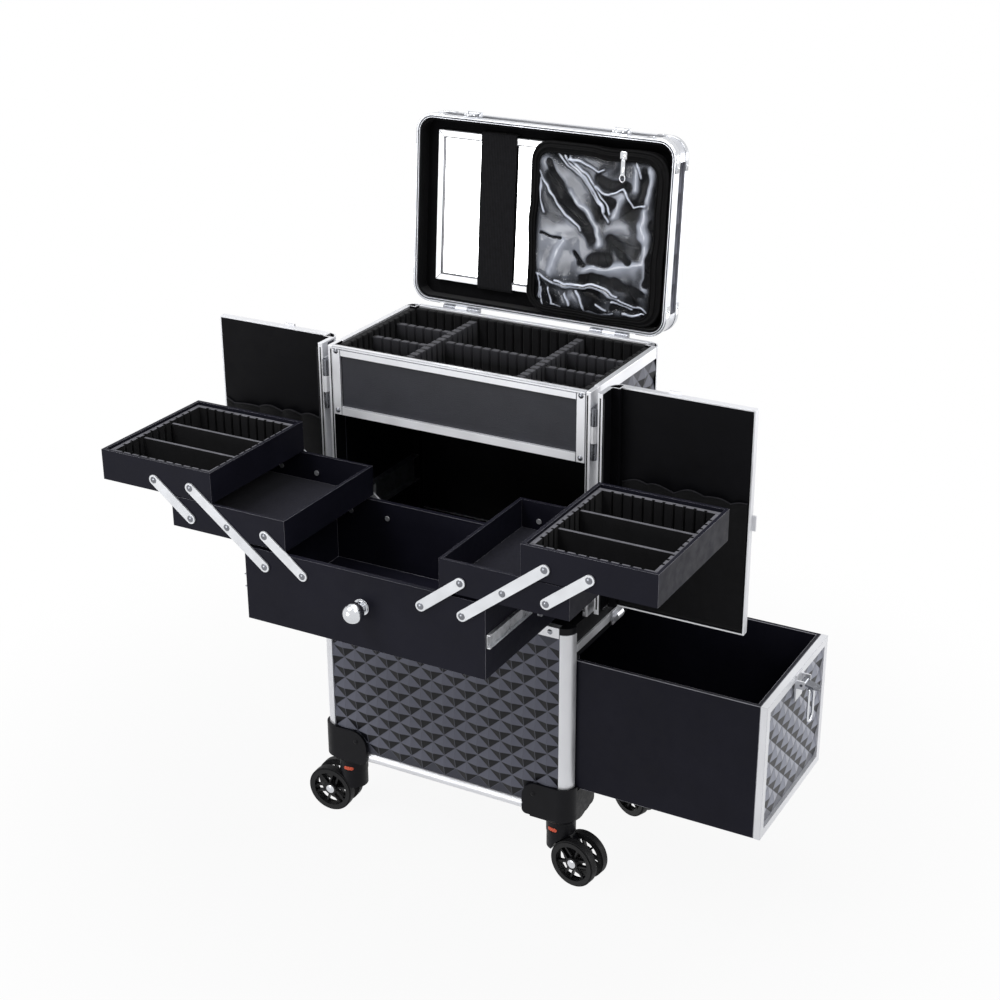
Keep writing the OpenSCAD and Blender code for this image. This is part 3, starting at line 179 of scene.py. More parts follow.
class Mat(Tree):
    """Principled material whose grain, mottling and roughness come from nodes."""

    def __init__(self, name, color, rough, metal=0.0, spec=0.5, sheen=0.0):
        self.m = bpy.data.materials.new(name)
        self.m.use_nodes = True
        super().__init__(self.m.node_tree)
        self.b = self.t.nodes["Principled BSDF"]
        for key, value in (("Base Color", color), ("Roughness", rough), ("Metallic", metal),
                           ("Specular IOR Level", spec), ("Sheen Weight", sheen), ("IOR", 1.5)):
            self.b.inputs[key].default_value = value
        self.m.diffuse_color = color
        self.coords = self.node("ShaderNodeTexCoord").outputs["Object"]
        self.bump_node = None

    def place(self, axis):
        """Coordinate along an axis, in metres."""
        n = self.node("ShaderNodeSeparateXYZ")
        self.link(self.coords, n.inputs[0])
        return n.outputs[axis]

    def noise(self, scale, detail, stretch=None):
        n = self.node("ShaderNodeTexNoise")
        for key, value in (("Scale", scale), ("Detail", detail), ("Roughness", 0.55)):
            n.inputs[key].default_value = value
        at = self.coords
        if stretch:
            mapping = self.node("ShaderNodeMapping")
            mapping.inputs["Scale"].default_value = stretch
            self.link(at, mapping.inputs["Vector"])
            at = mapping.outputs["Vector"]
        self.link(at, n.inputs["Vector"])
        return n.outputs["Fac"]

    def cells(self, scale):
        n = self.node("ShaderNodeTexVoronoi")
        n.inputs["Scale"].default_value = scale
        self.link(self.coords, n.inputs["Vector"])
        return n.outputs["Distance"]

    def weave(self, scale, axis):
        n = self.node("ShaderNodeTexWave", bands_direction=axis)
        n.inputs["Scale"].default_value = scale
        n.inputs["Distortion"].default_value = 0.0
        self.link(self.coords, n.inputs["Vector"])
        return n.outputs["Fac"]

    def texture(self, spec):
        """Output of a texture given as its kind and arguments."""
        kind, *values = spec
        return {"noise": self.noise, "cells": self.cells, "weave": self.weave}[kind](*values)

    def bump(self, fac, depth):
        """Adds a layer of relief, depth in metres."""
        n = self.node("ShaderNodeBump")
        n.inputs["Distance"].default_value = depth
        n.inputs["Strength"].default_value = 1.0
        self.link(fac, n.inputs["Height"])
        if self.bump_node:
            self.link(self.bump_node.outputs["Normal"], n.inputs["Normal"])
        self.bump_node = n
        self.link(n.outputs["Normal"], self.b.inputs["Normal"])

    def vary_rough(self, fac, lo, hi):
        self.link(self.ranged(fac, lo, hi, TEXTURE_LO, TEXTURE_HI), self.b.inputs["Roughness"])

    def mix_color(self, fac, dark, light):
        n = self.node("ShaderNodeMix", data_type="RGBA")
        # the colour sockets of the Mix node are the last pair of A and B
        a, b = [s for s in n.inputs if s.type == "RGBA"]
        a.default_value, b.default_value = dark, light
        self.link(fac, n.inputs["Factor"])
        out = [s for s in n.outputs if s.type == "RGBA"][0]
        self.link(out, self.b.inputs["Base Color"])


M = {}


def finish(key, name, rgb, rough, tone=None, gloss=None, relief=(), **values):
    """Adds a material to M.

    tone: a texture with the darkest and the palest share of the colour; gloss: a texture with the least and
    the greatest roughness; relief: pairs of a texture and its depth in metres.
    """
    c = srgb(*rgb)
    a = M[key] = Mat(name, c, rough, **values)
    if tone:
        spec, lo, hi = tone
        fac = a.ranged(a.texture(spec), 0.0, 1.0, TEXTURE_LO, TEXTURE_HI)
        a.mix_color(fac, shade(c, lo), shade(c, hi))
    if gloss:
        spec, lo, hi = gloss
        a.vary_rough(a.texture(spec), lo, hi)
    for spec, depth in relief:
        a.bump(a.texture(spec), depth)
    return a


def make_metals():
    # satin anodised aluminium: fine drawn streaks and a slightly uneven gloss; the lid's copy is darker,
    # painted shade
    for key, name, rgb, metal in (("alu", "satin_aluminium", (230, 231, 235), 0.55),
                                  ("alu_lid_shaded", "lid_aluminium_shaded", (204, 206, 211), 0.75)):
        finish(key, name, rgb, 0.38, (("noise", 9, 2), 0.93, 1.05), (("noise", 30, 3), 0.32, 0.46),
               [(("noise", 900, 2, (1, 1, 0.03)), 0.00002), (("noise", 700, 2, (0.03, 0.03, 1)), 0.00002)],
               metal=metal)
    # painted shade: a darker line along the edges of the drawn profiles
    finish("alu_edge_shade", "profile_edge_shade", (146, 148, 154), 0.42, (("noise", 60, 3), 0.8, 1.1),
           (("noise", 90, 2), 0.36, 0.52), [(("noise", 700, 2), 0.00002)], metal=0.85)
    # bright nickel plating of the small hardware, and the duller rivets and hinge leaves
    finish("chrome", "bright_nickel", (214, 216, 220), 0.16, (("noise", 40, 2), 0.9, 1.05),
           (("noise", 120, 3), 0.10, 0.26), [(("noise", 260, 2), 0.00004)], metal=1.0)
    finish("rivet", "rivet_steel", (124, 126, 132), 0.24, (("noise", 60, 2), 0.8, 1.15),
           (("noise", 120, 3), 0.18, 0.34), [(("noise", 260, 2), 0.00004)], metal=1.0)
    # zinc plated slides, in a lit and a shaded copy: painted light on the inner slides against the shade of
    # the trays, painted shade on the outer members
    drawn = [(("noise", 500, 2, (1, 0.05, 1)), 0.00003)]
    finish("zinc", "zinc_plate_lit", (232, 234, 238), 0.32, (("cells", 160), 0.86, 1.06),
           (("noise", 60, 4), 0.24, 0.46), drawn, metal=0.45)
    finish("zinc_shaded", "zinc_shaded", (116, 118, 123), 0.45, (("cells", 160), 0.84, 1.08),
           (("noise", 60, 4), 0.38, 0.56), drawn, metal=0.8)
    # flat bars of the tray arms
    finish("arm", "arm_steel", (222, 224, 228), 0.36, (("noise", 24, 2), 0.92, 1.04),
           (("noise", 90, 3), 0.3, 0.46), [(("noise", 620, 2, (1, 1, 0.1)), 0.00003)], metal=0.7)
    # mirror, its pale frame with a darker lip, and the grooves of the profiles, darker as painted shade
    finish("mirror", "mirror_silver", (251, 252, 253), 0.02, None, (("noise", 26, 3), 0.012, 0.035),
           [(("noise", 5, 1), 0.00001)], metal=1.0)
    finish("mirror_frame", "mirror_frame_white", (236, 237, 240), 0.36, (("noise", 18, 3), 0.94, 1.03),
           (("noise", 60, 3), 0.3, 0.44), [(("noise", 500, 2, (0.05, 1, 1)), 0.00002)], metal=0.45)
    finish("lip", "mirror_frame_lip", (120, 122, 127), 0.4, (("noise", 90, 3), 0.85, 1.1),
           (("noise", 120, 2), 0.32, 0.5), [(("noise", 700, 2), 0.00002)], metal=0.8)
    finish("groove", "profile_groove", (72, 74, 79), 0.5, (("noise", 90, 3), 0.8, 1.15),
           (("noise", 120, 2), 0.44, 0.58), [(("noise", 700, 2), 0.00002)], metal=0.5)


def make_boards():
    # embossed diamond board: black film with a fine leather grain, with painted light that makes the facets
    # that look up paler, but not on a wall that faces up as a whole; low is the normal's height at the
    # darkest facets
    for key, dark, pale, spec, rough, low in (
            ("diamond", (16, 16, 21), (108, 110, 123), 0.18, 0.36, -0.08),
            ("diamond_gloss", (22, 22, 28), (176, 179, 192), 0.16, 0.3, -0.08),
            ("diamond_lid", (22, 22, 27), (98, 100, 112), 0.06, 0.4, -0.17)):
        a = finish(key, key + "_board", pale, rough, None, (("noise", 140, 3), rough - 0.03, rough + 0.05),
                   [(("cells", 1500), 0.00001)], spec=spec)
        facing = a.node("ShaderNodeSeparateXYZ")
        a.link(a.node("ShaderNodeTexCoord").outputs["Normal"], facing.inputs[0])
        height = facing.outputs["Z"]
        # painted light: facets that look up get the pale colour, those that look down the dark one
        painted_facet_light = a.math("MULTIPLY", a.ranged(height, 0.0, 1.0, low, low + 0.2),
                      a.ranged(height, 1.0, 0.1, 0.45, 0.7))
        a.mix_color(painted_facet_light, srgb(*dark), srgb(*pale))
    # painted highlight: the paler line where the facets meet
    finish("diamond_ridge_highlight", "diamond_ridge_highlight", (100, 102, 113), 0.36, (("noise", 90, 3), 0.8, 1.15),
           (("noise", 140, 3), 0.3, 0.42), [(("noise", 900, 2), 0.00002)], spec=0.2)
    # plain black laminated board of the case inside, and the leather-like board of the fascia
    finish("board", "black_board", (10, 10, 13), 0.6, (("noise", 20, 4), 0.8, 1.2),
           (("noise", 80, 3), 0.46, 0.62), [(("cells", 1100), 0.00006), (("noise", 300, 3), 0.00006)],
           spec=0.07)
    finish("fascia", "fascia_board", (45, 46, 53), 0.42, (("noise", 14, 4), 0.8, 1.15),
           (("noise", 60, 3), 0.36, 0.5), [(("cells", 900), 0.0001), (("noise", 160, 3), 0.0001)], spec=0.3)
    # tray board with fine linen grain, a painted highlight along its edges, and the flock on the tray floors
    finish("tray", "tray_board", (23, 23, 33), 0.5, (("noise", 16, 4), 0.86, 1.12),
           (("noise", 70, 3), 0.42, 0.58),
           [(("noise", 1500, 2, (1, 1, 0.35)), 0.00005), (("cells", 1400), 0.00005)], spec=0.1)
    finish("tray_edge_highlight", "tray_edge_highlight", (158, 158, 166), 0.45, (("noise", 60, 4), 0.7, 1.2), None,
           [(("noise", 700, 2), 0.00004)], spec=0.4)
    finish("flock", "flock_floor", (31, 31, 40), 0.95, (("noise", 400, 3), 0.7, 1.25), None,
           [(("noise", 2200, 2), 0.0002), (("noise", 30, 3), 0.0002)], spec=0.06, sheen=0.12)


def make_foams():
    # ribbed foam with a woven face
    woven = [(("noise", 1300, 2), 0.00012), (("noise", 110, 3), 0.0003)]
    finish("foam", "ribbed_foam", (19, 19, 21), 0.82, (("noise", 60, 4), 0.75, 1.25), None, woven,
           spec=0.12, sheen=0.08)
    # painted light: paler foam on the faces of the tray linings that look up
    finish("foam_lit_top", "foam_lit_top", (104, 104, 110), 0.7, (("noise", 60, 4), 0.75, 1.25), None,
           [(("noise", 1300, 2), 0.0001)], spec=0.2)
    # the dividers' tops, paler with painted light and darkened with painted shade in the seams between the
    # ribs: axis and place of a seam for each kind
    for kind, axis, seam in (("middle", "X", 0.006), ("side", "X", 0.0075), ("long", "Y", 0.0015)):
        key, rgb = "foam_top_" + kind, (74, 74, 79)
        a = finish(key, key, rgb, 0.74, None, None, woven, spec=0.16, sheen=0.1)
        along = a.place(axis)
        if axis == "X":
            along = a.math("ABSOLUTE", along)
        from_seam = a.math("PINGPONG", a.math("SUBTRACT", along, seam), RIB / 2)
        # painted shade in the seams, painted light on the rest of the tops
        a.mix_color(a.ranged(from_seam, 0.0, 1.0, 0.0008, 0.0026), srgb(12, 12, 13), srgb(*rgb))
    # the dividers' sides are lit near the top and fade into the dark of the cells
    a = finish("foam_divider", "foam_divider", (24, 24, 27), 0.8, spec=0.14, sheen=0.1)
    a.mix_color(a.ranged(a.place("Z"), 0.0, 1.0, DIVIDER_TOP - 0.022, DIVIDER_TOP),
                srgb(17, 17, 19), srgb(66, 66, 71))


def make_plastics_and_cloths():
    # moulded nylon of guards and forks; wheel body and tread; release buttons
    finish("nylon", "moulded_nylon", (17, 17, 21), 0.42, (("noise", 45, 3), 0.85, 1.15),
           (("noise", 200, 3), 0.34, 0.52), [(("noise", 1600, 2), 0.00006)], spec=0.13)
    finish("wheel", "wheel_nylon", (19, 19, 21), 0.38, (("noise", 80, 3), 0.8, 1.2),
           (("noise", 180, 3), 0.3, 0.5), [(("noise", 900, 2), 0.00006)], spec=0.24)
    finish("tread", "wheel_tread", (18, 18, 20), 0.62, (("noise", 150, 4), 0.7, 1.5),
           (("noise", 90, 3), 0.5, 0.75), [(("noise", 700, 3), 0.0001)], spec=0.2)
    finish("orange", "orange_button", (232, 92, 58), 0.34, (("noise", 160, 2), 0.9, 1.06),
           (("noise", 220, 2), 0.28, 0.42), [(("noise", 800, 2), 0.00004)])
    # lining cloth of the lid
    finish("lid_cloth", "lid_cloth", (11, 11, 13), 0.8, (("noise", 50, 4), 0.75, 1.3), None,
           [(("weave", 900, "X"), 0.00004), (("weave", 900, "Z"), 0.00004), (("noise", 40, 3), 0.0006)],
           spec=0.06, sheen=0.03)
    # woven elastic; black nylon tape and binding of the bag
    finish("elastic", "ribbed_elastic", (18, 18, 21), 0.78, (("noise", 220, 3), 0.7, 1.3), None,
           [(("weave", 420, "Z"), 0.00012), (("noise", 900, 2), 0.0001)], spec=0.12, sheen=0.06)
    finish("tape", "nylon_tape", (15, 15, 16), 0.6, (("noise", 160, 3), 0.7, 1.4), None,
           [(("weave", 700, "DIAGONAL"), 0.0001), (("noise", 800, 2), 0.00008)], spec=0.08)
    # clear film, seen over the bag's black back: clear where it lies flat, milky where it is creased, with
    # painted highlights and sheen in the same mask
    a = finish("film", "clear_film", (214, 218, 226), 0.10, None, (("noise", 40, 3), 0.06, 0.16),
               [(("noise", 60, 4), 0.0002), (("noise", 240, 2), 0.00005)], spec=0.6)
    haze_and_highlight = a.node("ShaderNodeAttribute", attribute_name="haze_and_highlight").outputs["Fac"]
    a.mix_color(haze_and_highlight, srgb(12, 13, 18), srgb(224, 231, 248))
    a.link(a.ranged(haze_and_highlight, 0.3, 1.0, 0.05, 0.5), a.b.inputs["Alpha"])
    a.link(a.ranged(haze_and_highlight, 0.15, 0.7, 0.1, 0.7), a.b.inputs["Specular IOR Level"])
    finish("bag_back", "bag_back", (15, 15, 17), 0.7, (("noise", 90, 3), 0.7, 1.3), None,
           [(("weave", 800, "X"), 0.00006), (("noise", 60, 3), 0.0004)], spec=0.15)
    # pocket cloth on the doors and its piping
    finish("pocket", "pocket_cloth", (12, 12, 14), 0.8, (("noise", 70, 4), 0.75, 1.25), None,
           [(("weave", 800, "X"), 0.00006), (("weave", 800, "Z"), 0.00006), (("noise", 35, 3), 0.0006)],
           spec=0.12, sheen=0.05)
    finish("piping", "pocket_piping", (30, 30, 34), 0.6, (("noise", 300, 3), 0.7, 1.3), None,
           [(("noise", 900, 2), 0.00008)], spec=0.15, sheen=0.03)


make_metals()
make_boards()
make_foams()
make_plastics_and_cloths()

# ----------------------------------------
# CAD nodes: materials and rounded edges. A chooser maps face centres c, in millimetres, and normals d
# to the number of a material.


def dress(name, *mats, bevel=0.0005, segments=2, edge=None, angle=32, choose=None, flat=False):
    """Gives a CAD node its materials, and its edges a bevel in metres; edge is the bevel's own material."""
    o = NODES[name]
    me = o.data
    me.materials.clear()
    for m in mats:
        me.materials.append(m.m)
    if edge is not None:
        me.materials.append(edge.m)
    n = len(me.polygons)
    index = np.zeros(n, np.int32)
    if choose is not None:
        c = np.empty(n * 3)
        me.polygons.foreach_get("center", c)
        d = np.empty(n * 3)
        me.polygons.foreach_get("normal", d)
        index = np.asarray(choose(c.reshape(-1, 3) * 1000.0, d.reshape(-1, 3)), np.int32)
    me.polygons.foreach_set("material_index", index)
    if "custom_normal" in me.attributes:
        me.attributes.remove(me.attributes["custom_normal"])
    me.polygons.foreach_set("use_smooth", np.full(n, not flat))
    w = o.modifiers.new("join", "WELD")
    w.merge_threshold = 0.00002
    d = o.modifiers.new("flats", "DECIMATE")
    d.decimate_type = "DISSOLVE"
    d.angle_limit = math.radians(0.6)
    d.delimit = {"MATERIAL"}
    b = o.modifiers.new("edges", "BEVEL")
    b.width = bevel
    b.segments = segments
    b.limit_method = "ANGLE"
    b.angle_limit = math.radians(angle)
    b.harden_normals = not flat
    b.use_clamp_overlap = True
    if edge is not None:
        b.material = len(mats)
    me.update()


def outward(c, d, axis):
    """Share of the normals that points away from the middle of the case along an axis."""
    return d[:, axis] * np.sign(c[:, axis])


def up(c, d):
    return d[:, 2] > 0.9


def shaded_inside_frame(c, d):
    """Faces of the upper frame towards the inside of the case, below the compartment's floor, black as
    painted shade.
    """
    back_or_front = (outward(c, d, 1) < -0.5) & (np.abs(c[:, 1]) < 108)
    return (c[:, 2] < 531) & ((outward(c, d, 0) < -0.5) | back_or_front)


def shaded_inside_door_frame(c, d):
    """Faces of a door's frame towards the inside, away from its far edge, black as painted shade."""
    inner = (d[:, 1] < -0.5) & (c[:, 1] > -62)
    ends = (outward(c, d, 0) > 0.5) & (c[:, 1] > -72)
    return (inner | ends) & (np.abs(c[:, 0]) < 199)


def inside_panel(c, d):
    """Plain inner faces of the embossed walls."""
    x_wall, y_wall = np.abs(c[:, 0]) > 160, np.abs(c[:, 1]) > 104
    return outward(c, d, 0) * x_wall + outward(c, d, 1) * y_wall < -0.99


def inside_door(c, d):
    """Plain inner face of a door's board, and the end beside the hinge."""
    return (d[:, 1] < -0.98) | ((outward(c, d, 0) > 0.98) & (np.abs(c[:, 0]) < 190))


def fascia_panel(c, d):
    return (d[:, 1] < -0.9) & (c[:, 2] > 532) & (c[:, 1] < -60)


def divider_part(c, d):
    """Sides, or the tops of the middle, side and long dividers; the long ones stand higher."""
    long, side = c[:, 2] > DIVIDER_TOP / MM - 1, np.abs(c[:, 0]) > 70
    return up(c, d) * np.select([long, side], [3, 2], 1)


def tray_floor(c, d):
    return up(c, d) & (c[:, 2] < 470)


def rivet_head(c, d):
    return (c[:, 1] < ARM_Y[0]) | (c[:, 1] > ARM_Y[1])


def handle_tube(c, d):
    return (np.abs(c[:, 0]) < 80) & (c[:, 2] < 523)


def wheel_part(side, end, heading):
    """Chooser of the moulded wheel, its bright hub cap, and the tread."""
    a = math.radians(heading)
    hub = np.array([side * STEM_X + TRAIL * math.cos(a), end * STEM_Y + TRAIL * math.sin(a), HUB_Z])
    axle = np.array([-math.sin(a), math.cos(a), 0.0])

    def choose(c, d):
        along = (c - hub) @ axle
        out = np.linalg.norm((c - hub) - np.outer(along, axle), axis=1)
        return np.where(np.abs(along) > CAP_OUT, 1, np.where(out > TREAD_R, 2, 0))
    return choose


def dress_case():
    profile = dict(bevel=0.0006, edge=M["alu_edge_shade"])
    for n in ("corner_posts", "lower_rails", "fascia_frame", "side_catch_rail", "handle_sleeves",
              "side_drawer_frame"):
        dress(n, M["alu"], **profile)
    # the lid's frame takes the darker copy of the aluminium, painted shade
    dress("lid_frame", M["alu_lid_shaded"], **profile)
    dress("hinge_leaves", M["rivet"], bevel=0.0004)
    # profiles that are bright outside, with black board as painted shade on their faces towards the inside
    # of the case
    dress("upper_frame", M["alu"], M["board"], bevel=0.0006, choose=shaded_inside_frame)
    for n in ("left_door_frame", "right_door_frame"):
        dress(n, M["alu"], M["board"], bevel=0.0006, choose=shaded_inside_door_frame)
    # embossed outside, plain board inside
    facets = dict(angle=12, flat=True)
    lined = dict(bevel=0.0003, segments=1, edge=M["diamond_ridge_highlight"], **facets)
    for n in ("lower_panels", "upper_panels"):
        dress(n, M["diamond"], M["board"], choose=inside_panel, **lined)
    dress("side_drawer_face", M["diamond_gloss"], **lined)
    dress("lid_panels", M["diamond_lid"], bevel=0.0004, **facets)
    for n in ("left_door_panel", "right_door_panel"):
        dress(n, M["diamond"], M["board"], choose=inside_door, **facets)
    dress("boards", M["board"], M["fascia"], bevel=0.0004, choose=fascia_panel)
    dress("compartment_lining", M["foam"], bevel=0.0014, segments=3)
    dress("dividers", M["foam_divider"], M["foam_top_middle"], M["foam_top_side"], M["foam_top_long"],
          bevel=0.0016, segments=3, choose=divider_part)
    dress("corner_guards", M["nylon"], bevel=0.0014, segments=3)
    dress("release_buttons", M["orange"], bevel=0.0006, segments=3)
    # the rivets of the guards are black
    dress("rivets", M["rivet"], M["nylon"], bevel=0.0003, choose=lambda c, d: c[:, 2] < 150)
    dress("pull_handle", M["nylon"], M["alu"], bevel=0.0012, segments=3, choose=handle_tube)
    dress("lid_lining", M["lid_cloth"], M["foam"], bevel=0.0008, choose=lambda c, d: d[:, 2] > 0.5)
    dress("mirror_frame", M["mirror_frame"])
    dress("mirror_glass", M["mirror"], bevel=0.0003)


def dress_moving():
    # inner slides take the lit zinc with painted light, the outer members the shaded zinc with painted shade
    for n in ("drawer_slide_inner", "drawer_slide_middle", "side_runner_inner"):
        dress(n, M["zinc"], bevel=0.0003)
    dress("slide_outer_members", M["zinc_shaded"], bevel=0.0003)
    for n in ("drawer_knob", "left_hasp", "right_hasp", "latch_bail"):
        dress(n, M["chrome"], bevel=0.0003)
    dress("latch_lever", M["rivet"], bevel=0.0003)
    board = dict(bevel=0.0006, edge=M["tray_edge_highlight"])
    for n in ("front_drawer", "side_drawer"):
        dress(n, M["tray"], **board)
    for s in ("left", "right"):
        dress(f"{s}_upper_tray", M["tray"], **board)
        dress(f"{s}_lower_tray", M["tray"], M["flock"], choose=tray_floor, **board)
        # the lining's tops take the paler foam, painted light
        dress(f"{s}_tray_lining", M["foam"], M["foam_lit_top"], bevel=0.0006, choose=up)
        for k in ("long", "lower", "upper"):
            dress(f"{s}_{k}_arms", M["arm"], M["rivet"], bevel=0.0003, choose=rivet_head)
    for n, place in CASTERS.items():
        dress(f"caster_fork_{n}", M["nylon"], bevel=0.0010, segments=3)
        dress(f"caster_wheels_{n}", M["wheel"], M["chrome"], M["tread"], choose=wheel_part(*place))


dress_case()
dress_moving()

# ----------------------------------------
# mesh helpers

# out of the lid's open side, in the closed lid's coordinates
LID_OUT = np.array([0, 0, -1.0])


def add(name, verts, faces, mat, body):
    """New piece from points in metres, parented to an empty named after a body."""
    me = bpy.data.meshes.new(name)
    me.from_pydata(np.asarray(verts, float).tolist(), [], faces)
    me.update()
    me.materials.append(mat.m)
    me.polygons.foreach_set("use_smooth", np.full(len(me.polygons), True))
    o = bpy.data.objects.new(name, me)
    bpy.context.scene.collection.objects.link(o)
    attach(o, body)
    return o


class Build:
    """Collects several shapes into one mesh."""

    def __init__(self):
        self.v, self.f, self.n = [], [], 0

    def put(self, verts, faces):
        self.v.append(verts)
        self.f += [tuple(k + self.n for k in f) for f in faces]
        self.n += len(verts)

    def done(self, name, mat, body):
        add(name, np.concatenate(self.v), self.f, mat, body)


def grid_faces(nu, nv, close_u=False, close_v=False):
    out = []
    for j in range(nv if close_v else nv - 1):
        for i in range(nu if close_u else nu - 1):
            a, b = j * nu + i, j * nu + (i + 1) % nu
            c, d = ((j + 1) % nv) * nu + (i + 1) % nu, ((j + 1) % nv) * nu + i
            out.append((a, b, c, d))
    return out


def tube_faces(m, n):
    """Faces of n rows of m points each, closed round and capped at both ends."""
    return grid_faces(m, n, True) + [tuple(range(m))[::-1], tuple(range((n - 1) * m, n * m))]


def frames(path, closed, up):
    """Side and up vectors along a path, for sweeping."""
    if closed:
        t = np.roll(path, -1, 0) - np.roll(path, 1, 0)
    else:
        t = np.gradient(path, axis=0)
    t /= np.linalg.norm(t, axis=1, keepdims=True)
    side = np.cross(t, up)
    side /= np.linalg.norm(side, axis=1, keepdims=True)
    return side, np.cross(side, t)


def sweep(path, section, closed, up, swell=None):
    """Verts and faces of a closed section, points (side, up), swept along a path and swollen by point."""
    side, upv = frames(path, closed, up)
    s = np.asarray(section, float)
    off = side[:, None] * s[None, :, :1] + upv[:, None] * s[None, :, 1:]
    if swell is not None:
        off = off * swell[:, None, None]
    v = path[:, None] + off
    n, m = len(path), len(s)
    return v.reshape(-1, 3), grid_faces(m, n, True, True) if closed else tube_faces(m, n)


def ring(r, n, sx=1.0, sy=1.0):
    a = np.arange(n) * 2 * math.pi / n
    return np.stack([np.cos(a) * r * sx, np.sin(a) * r * sy], 1)


def lathe(profile, c, axis, n):
    """Solid of revolution from (radius, height) points, the first and last on the axis."""
    ref = np.array([0, 0, 1.0]) if abs(axis[2]) < 0.9 else np.array([1.0, 0, 0])
    u = np.cross(axis, ref)
    u /= np.linalg.norm(u)
    w = np.cross(axis, u)
    a = np.arange(n) * 2 * math.pi / n
    round_axis = np.cos(a)[:, None] * u + np.sin(a)[:, None] * w
    rows = [c + axis * h + round_axis * r for r, h in profile[1:-1]]
    m = len(rows)
    v = np.concatenate(rows + [(c + axis * profile[0][1])[None], (c + axis * profile[-1][1])[None]])
    top, bottom = m * n, m * n + 1
    faces = grid_faces(n, m, True)
    faces += [(top, (i + 1) % n, i) for i in range(n)]
    faces += [(bottom, (m - 1) * n + i, (m - 1) * n + (i + 1) % n) for i in range(n)]
    return v, faces


def round_rect(cx, cy, hx, hy, r, step):
    """Points round a rounded rectangle, anticlockwise, about step apart."""
    pts = []
    corners = [(hx - r, hy - r, 0), (-hx + r, hy - r, 90), (-hx + r, -hy + r, 180), (hx - r, -hy + r, 270)]
    for k, (x, y, a0) in enumerate(corners):
        n = max(4, int(r * math.pi / 2 / step))
        for i in range(n + 1):
            a = math.radians(a0 + 90 * i / n)
            pts.append((cx + x + r * math.cos(a), cy + y + r * math.sin(a)))
        x2, y2, a2 = corners[(k + 1) % 4]
        a = math.radians(a2)
        q = (cx + x2 + r * math.cos(a), cy + y2 + r * math.sin(a))
        p = pts[-1]
        m = max(1, int(math.hypot(q[0] - p[0], q[1] - p[1]) / step))
        for i in range(1, m):
            pts.append((p[0] + (q[0] - p[0]) * i / m, p[1] + (q[1] - p[1]) * i / m))
    return np.array(pts)


def resample(p, n):
    """n of the points of a loop, evenly chosen."""
    return p[np.round(np.linspace(0, len(p) - 1, n)).astype(int)]


def smooth_step(k):
    return k * k * (3 - 2 * k)


# ----------------------------------------
# clear bag: black back and gusset, zip band with its coil, bound edges, and the creased film

# lines on the film, as fractions of its width and height: sharp and soft creases, milky and bright with
# painted highlights, the places where it lies close to the black back, and those where it looks milky and
# pale with painted sheen, each of the last two with a reach
SHARP = [[(.19, .0), (.32, .12), (.45, .22), (.55, .31), (.62, .39)],
         [(.23, .0), (.36, .13), (.49, .23), (.58, .33)],
         [(.28, .01), (.37, .11), (.51, .21), (.63, .34)],
         [(.0, .81), (.2, .82), (.47, .84), (.78, .89), (.98, .95)],
         [(.2, .80), (.5, .825), (.72, .86)],
         [(.5, .19), (.61, .21), (.70, .19), (.78, .26), (.82, .32), (.94, .28)],
         [(.02, .16), (.13, .24), (.33, .44), (.37, .5)],
         [(.04, .2), (.09, .37)], [(.02, .82), (.06, .93)],
         [(.41, .86), (.46, .97), (.7, .985)], [(.28, .03), (.5, .08), (.55, .05)], [(.06, .88), (.1, .97)],
         [(.14, .85), (.18, .95), (.26, .97)], [(.3, .87), (.33, .95)], [(.55, .92), (.64, .95)],
         [(.68, .9), (.86, .935)], [(.8, .985), (.96, .97)], [(.83, .03), (.86, .11)]]
SOFT = [[(.97, .05), (.95, .28), (.88, .47)], [(.45, .72), (.7, .70), (.92, .66)],
        [(.28, .25), (.42, .34), (.53, .44), (.55, .55)], [(.82, .05), (.80, .18)], [(.7, .24), (.66, .36)],
        [(.25, .55), (.2, .66), (.14, .76)], [(.88, .42), (.95, .6), (.98, .8)]]
DARK = [([(.12, .15), (.32, .34), (.47, .52)], 7.0), ([(.5, .65), (.62, .66)], 7.0),
        ([(.63, .49), (.72, .56), (.80, .65)], 4.5), ([(.45, .78), (.7, .78), (.95, .83)], 4.5),
        ([(.52, .13), (.72, .17)], 6.5), ([(.90, .08), (.88, .26)], 5.0), ([(.06, .88), (.14, .93)], 7.0),
        ([(.70, .94), (.9, .95)], 4.0), ([(.35, .61), (.42, .68)], 2.6), ([(.52, .25), (.62, .27)], 6.0),
        ([(.10, .07), (.12, .12)], 4.0), ([(.06, .52), (.22, .53)], 1.6), ([(.98, .4), (.99, .75)], 4.0)]
PALE = [([(.08, .56), (.4, .58), (.12, .72)], 22.0), ([(.06, .06), (.2, .14)], 10.0),
        ([(.2, .46), (.3, .47)], 9.0), ([(.45, .73), (.85, .70)], 8.0), ([(.62, .42), (.75, .44)], 9.0),
        ([(.3, .9), (.4, .9)], 5.0)]
# how pale each of them is, from clear to white: milky film together with painted highlights and sheen
PALE_HAZE_AND_SHEEN, SOFT_HAZE_AND_SHEEN, HAZE_DARK, SHARP_HAZE_AND_HIGHLIGHT = 0.46, 0.70, 0.03, 1.0
FILM_GRID = (170, 200)


def near(s, t, pts):
    """Distance in millimetres from a line of points given as fractions of the film."""
    best = np.full(np.shape(s), 1e9)
    q = [(u * FILM_H[0] * 2, v * FILM_H[1] * 2) for u, v in pts]
    for (ax, ay), (bx, by) in zip(q[:-1], q[1:]):
        dx, dy = bx - ax, by - ay
        k = np.clip(((s - ax) * dx + (t - ay) * dy) / (dx * dx + dy * dy), 0, 1)
        best = np.minimum(best, np.hypot(s - ax - k * dx, t - ay - k * dy))
    return best


def within(d, lo, hi):
    """1 up to the distance lo, fading to 0 at hi."""
    return 1 - smooth_step(np.clip((d - lo) / (hi - lo), 0, 1))


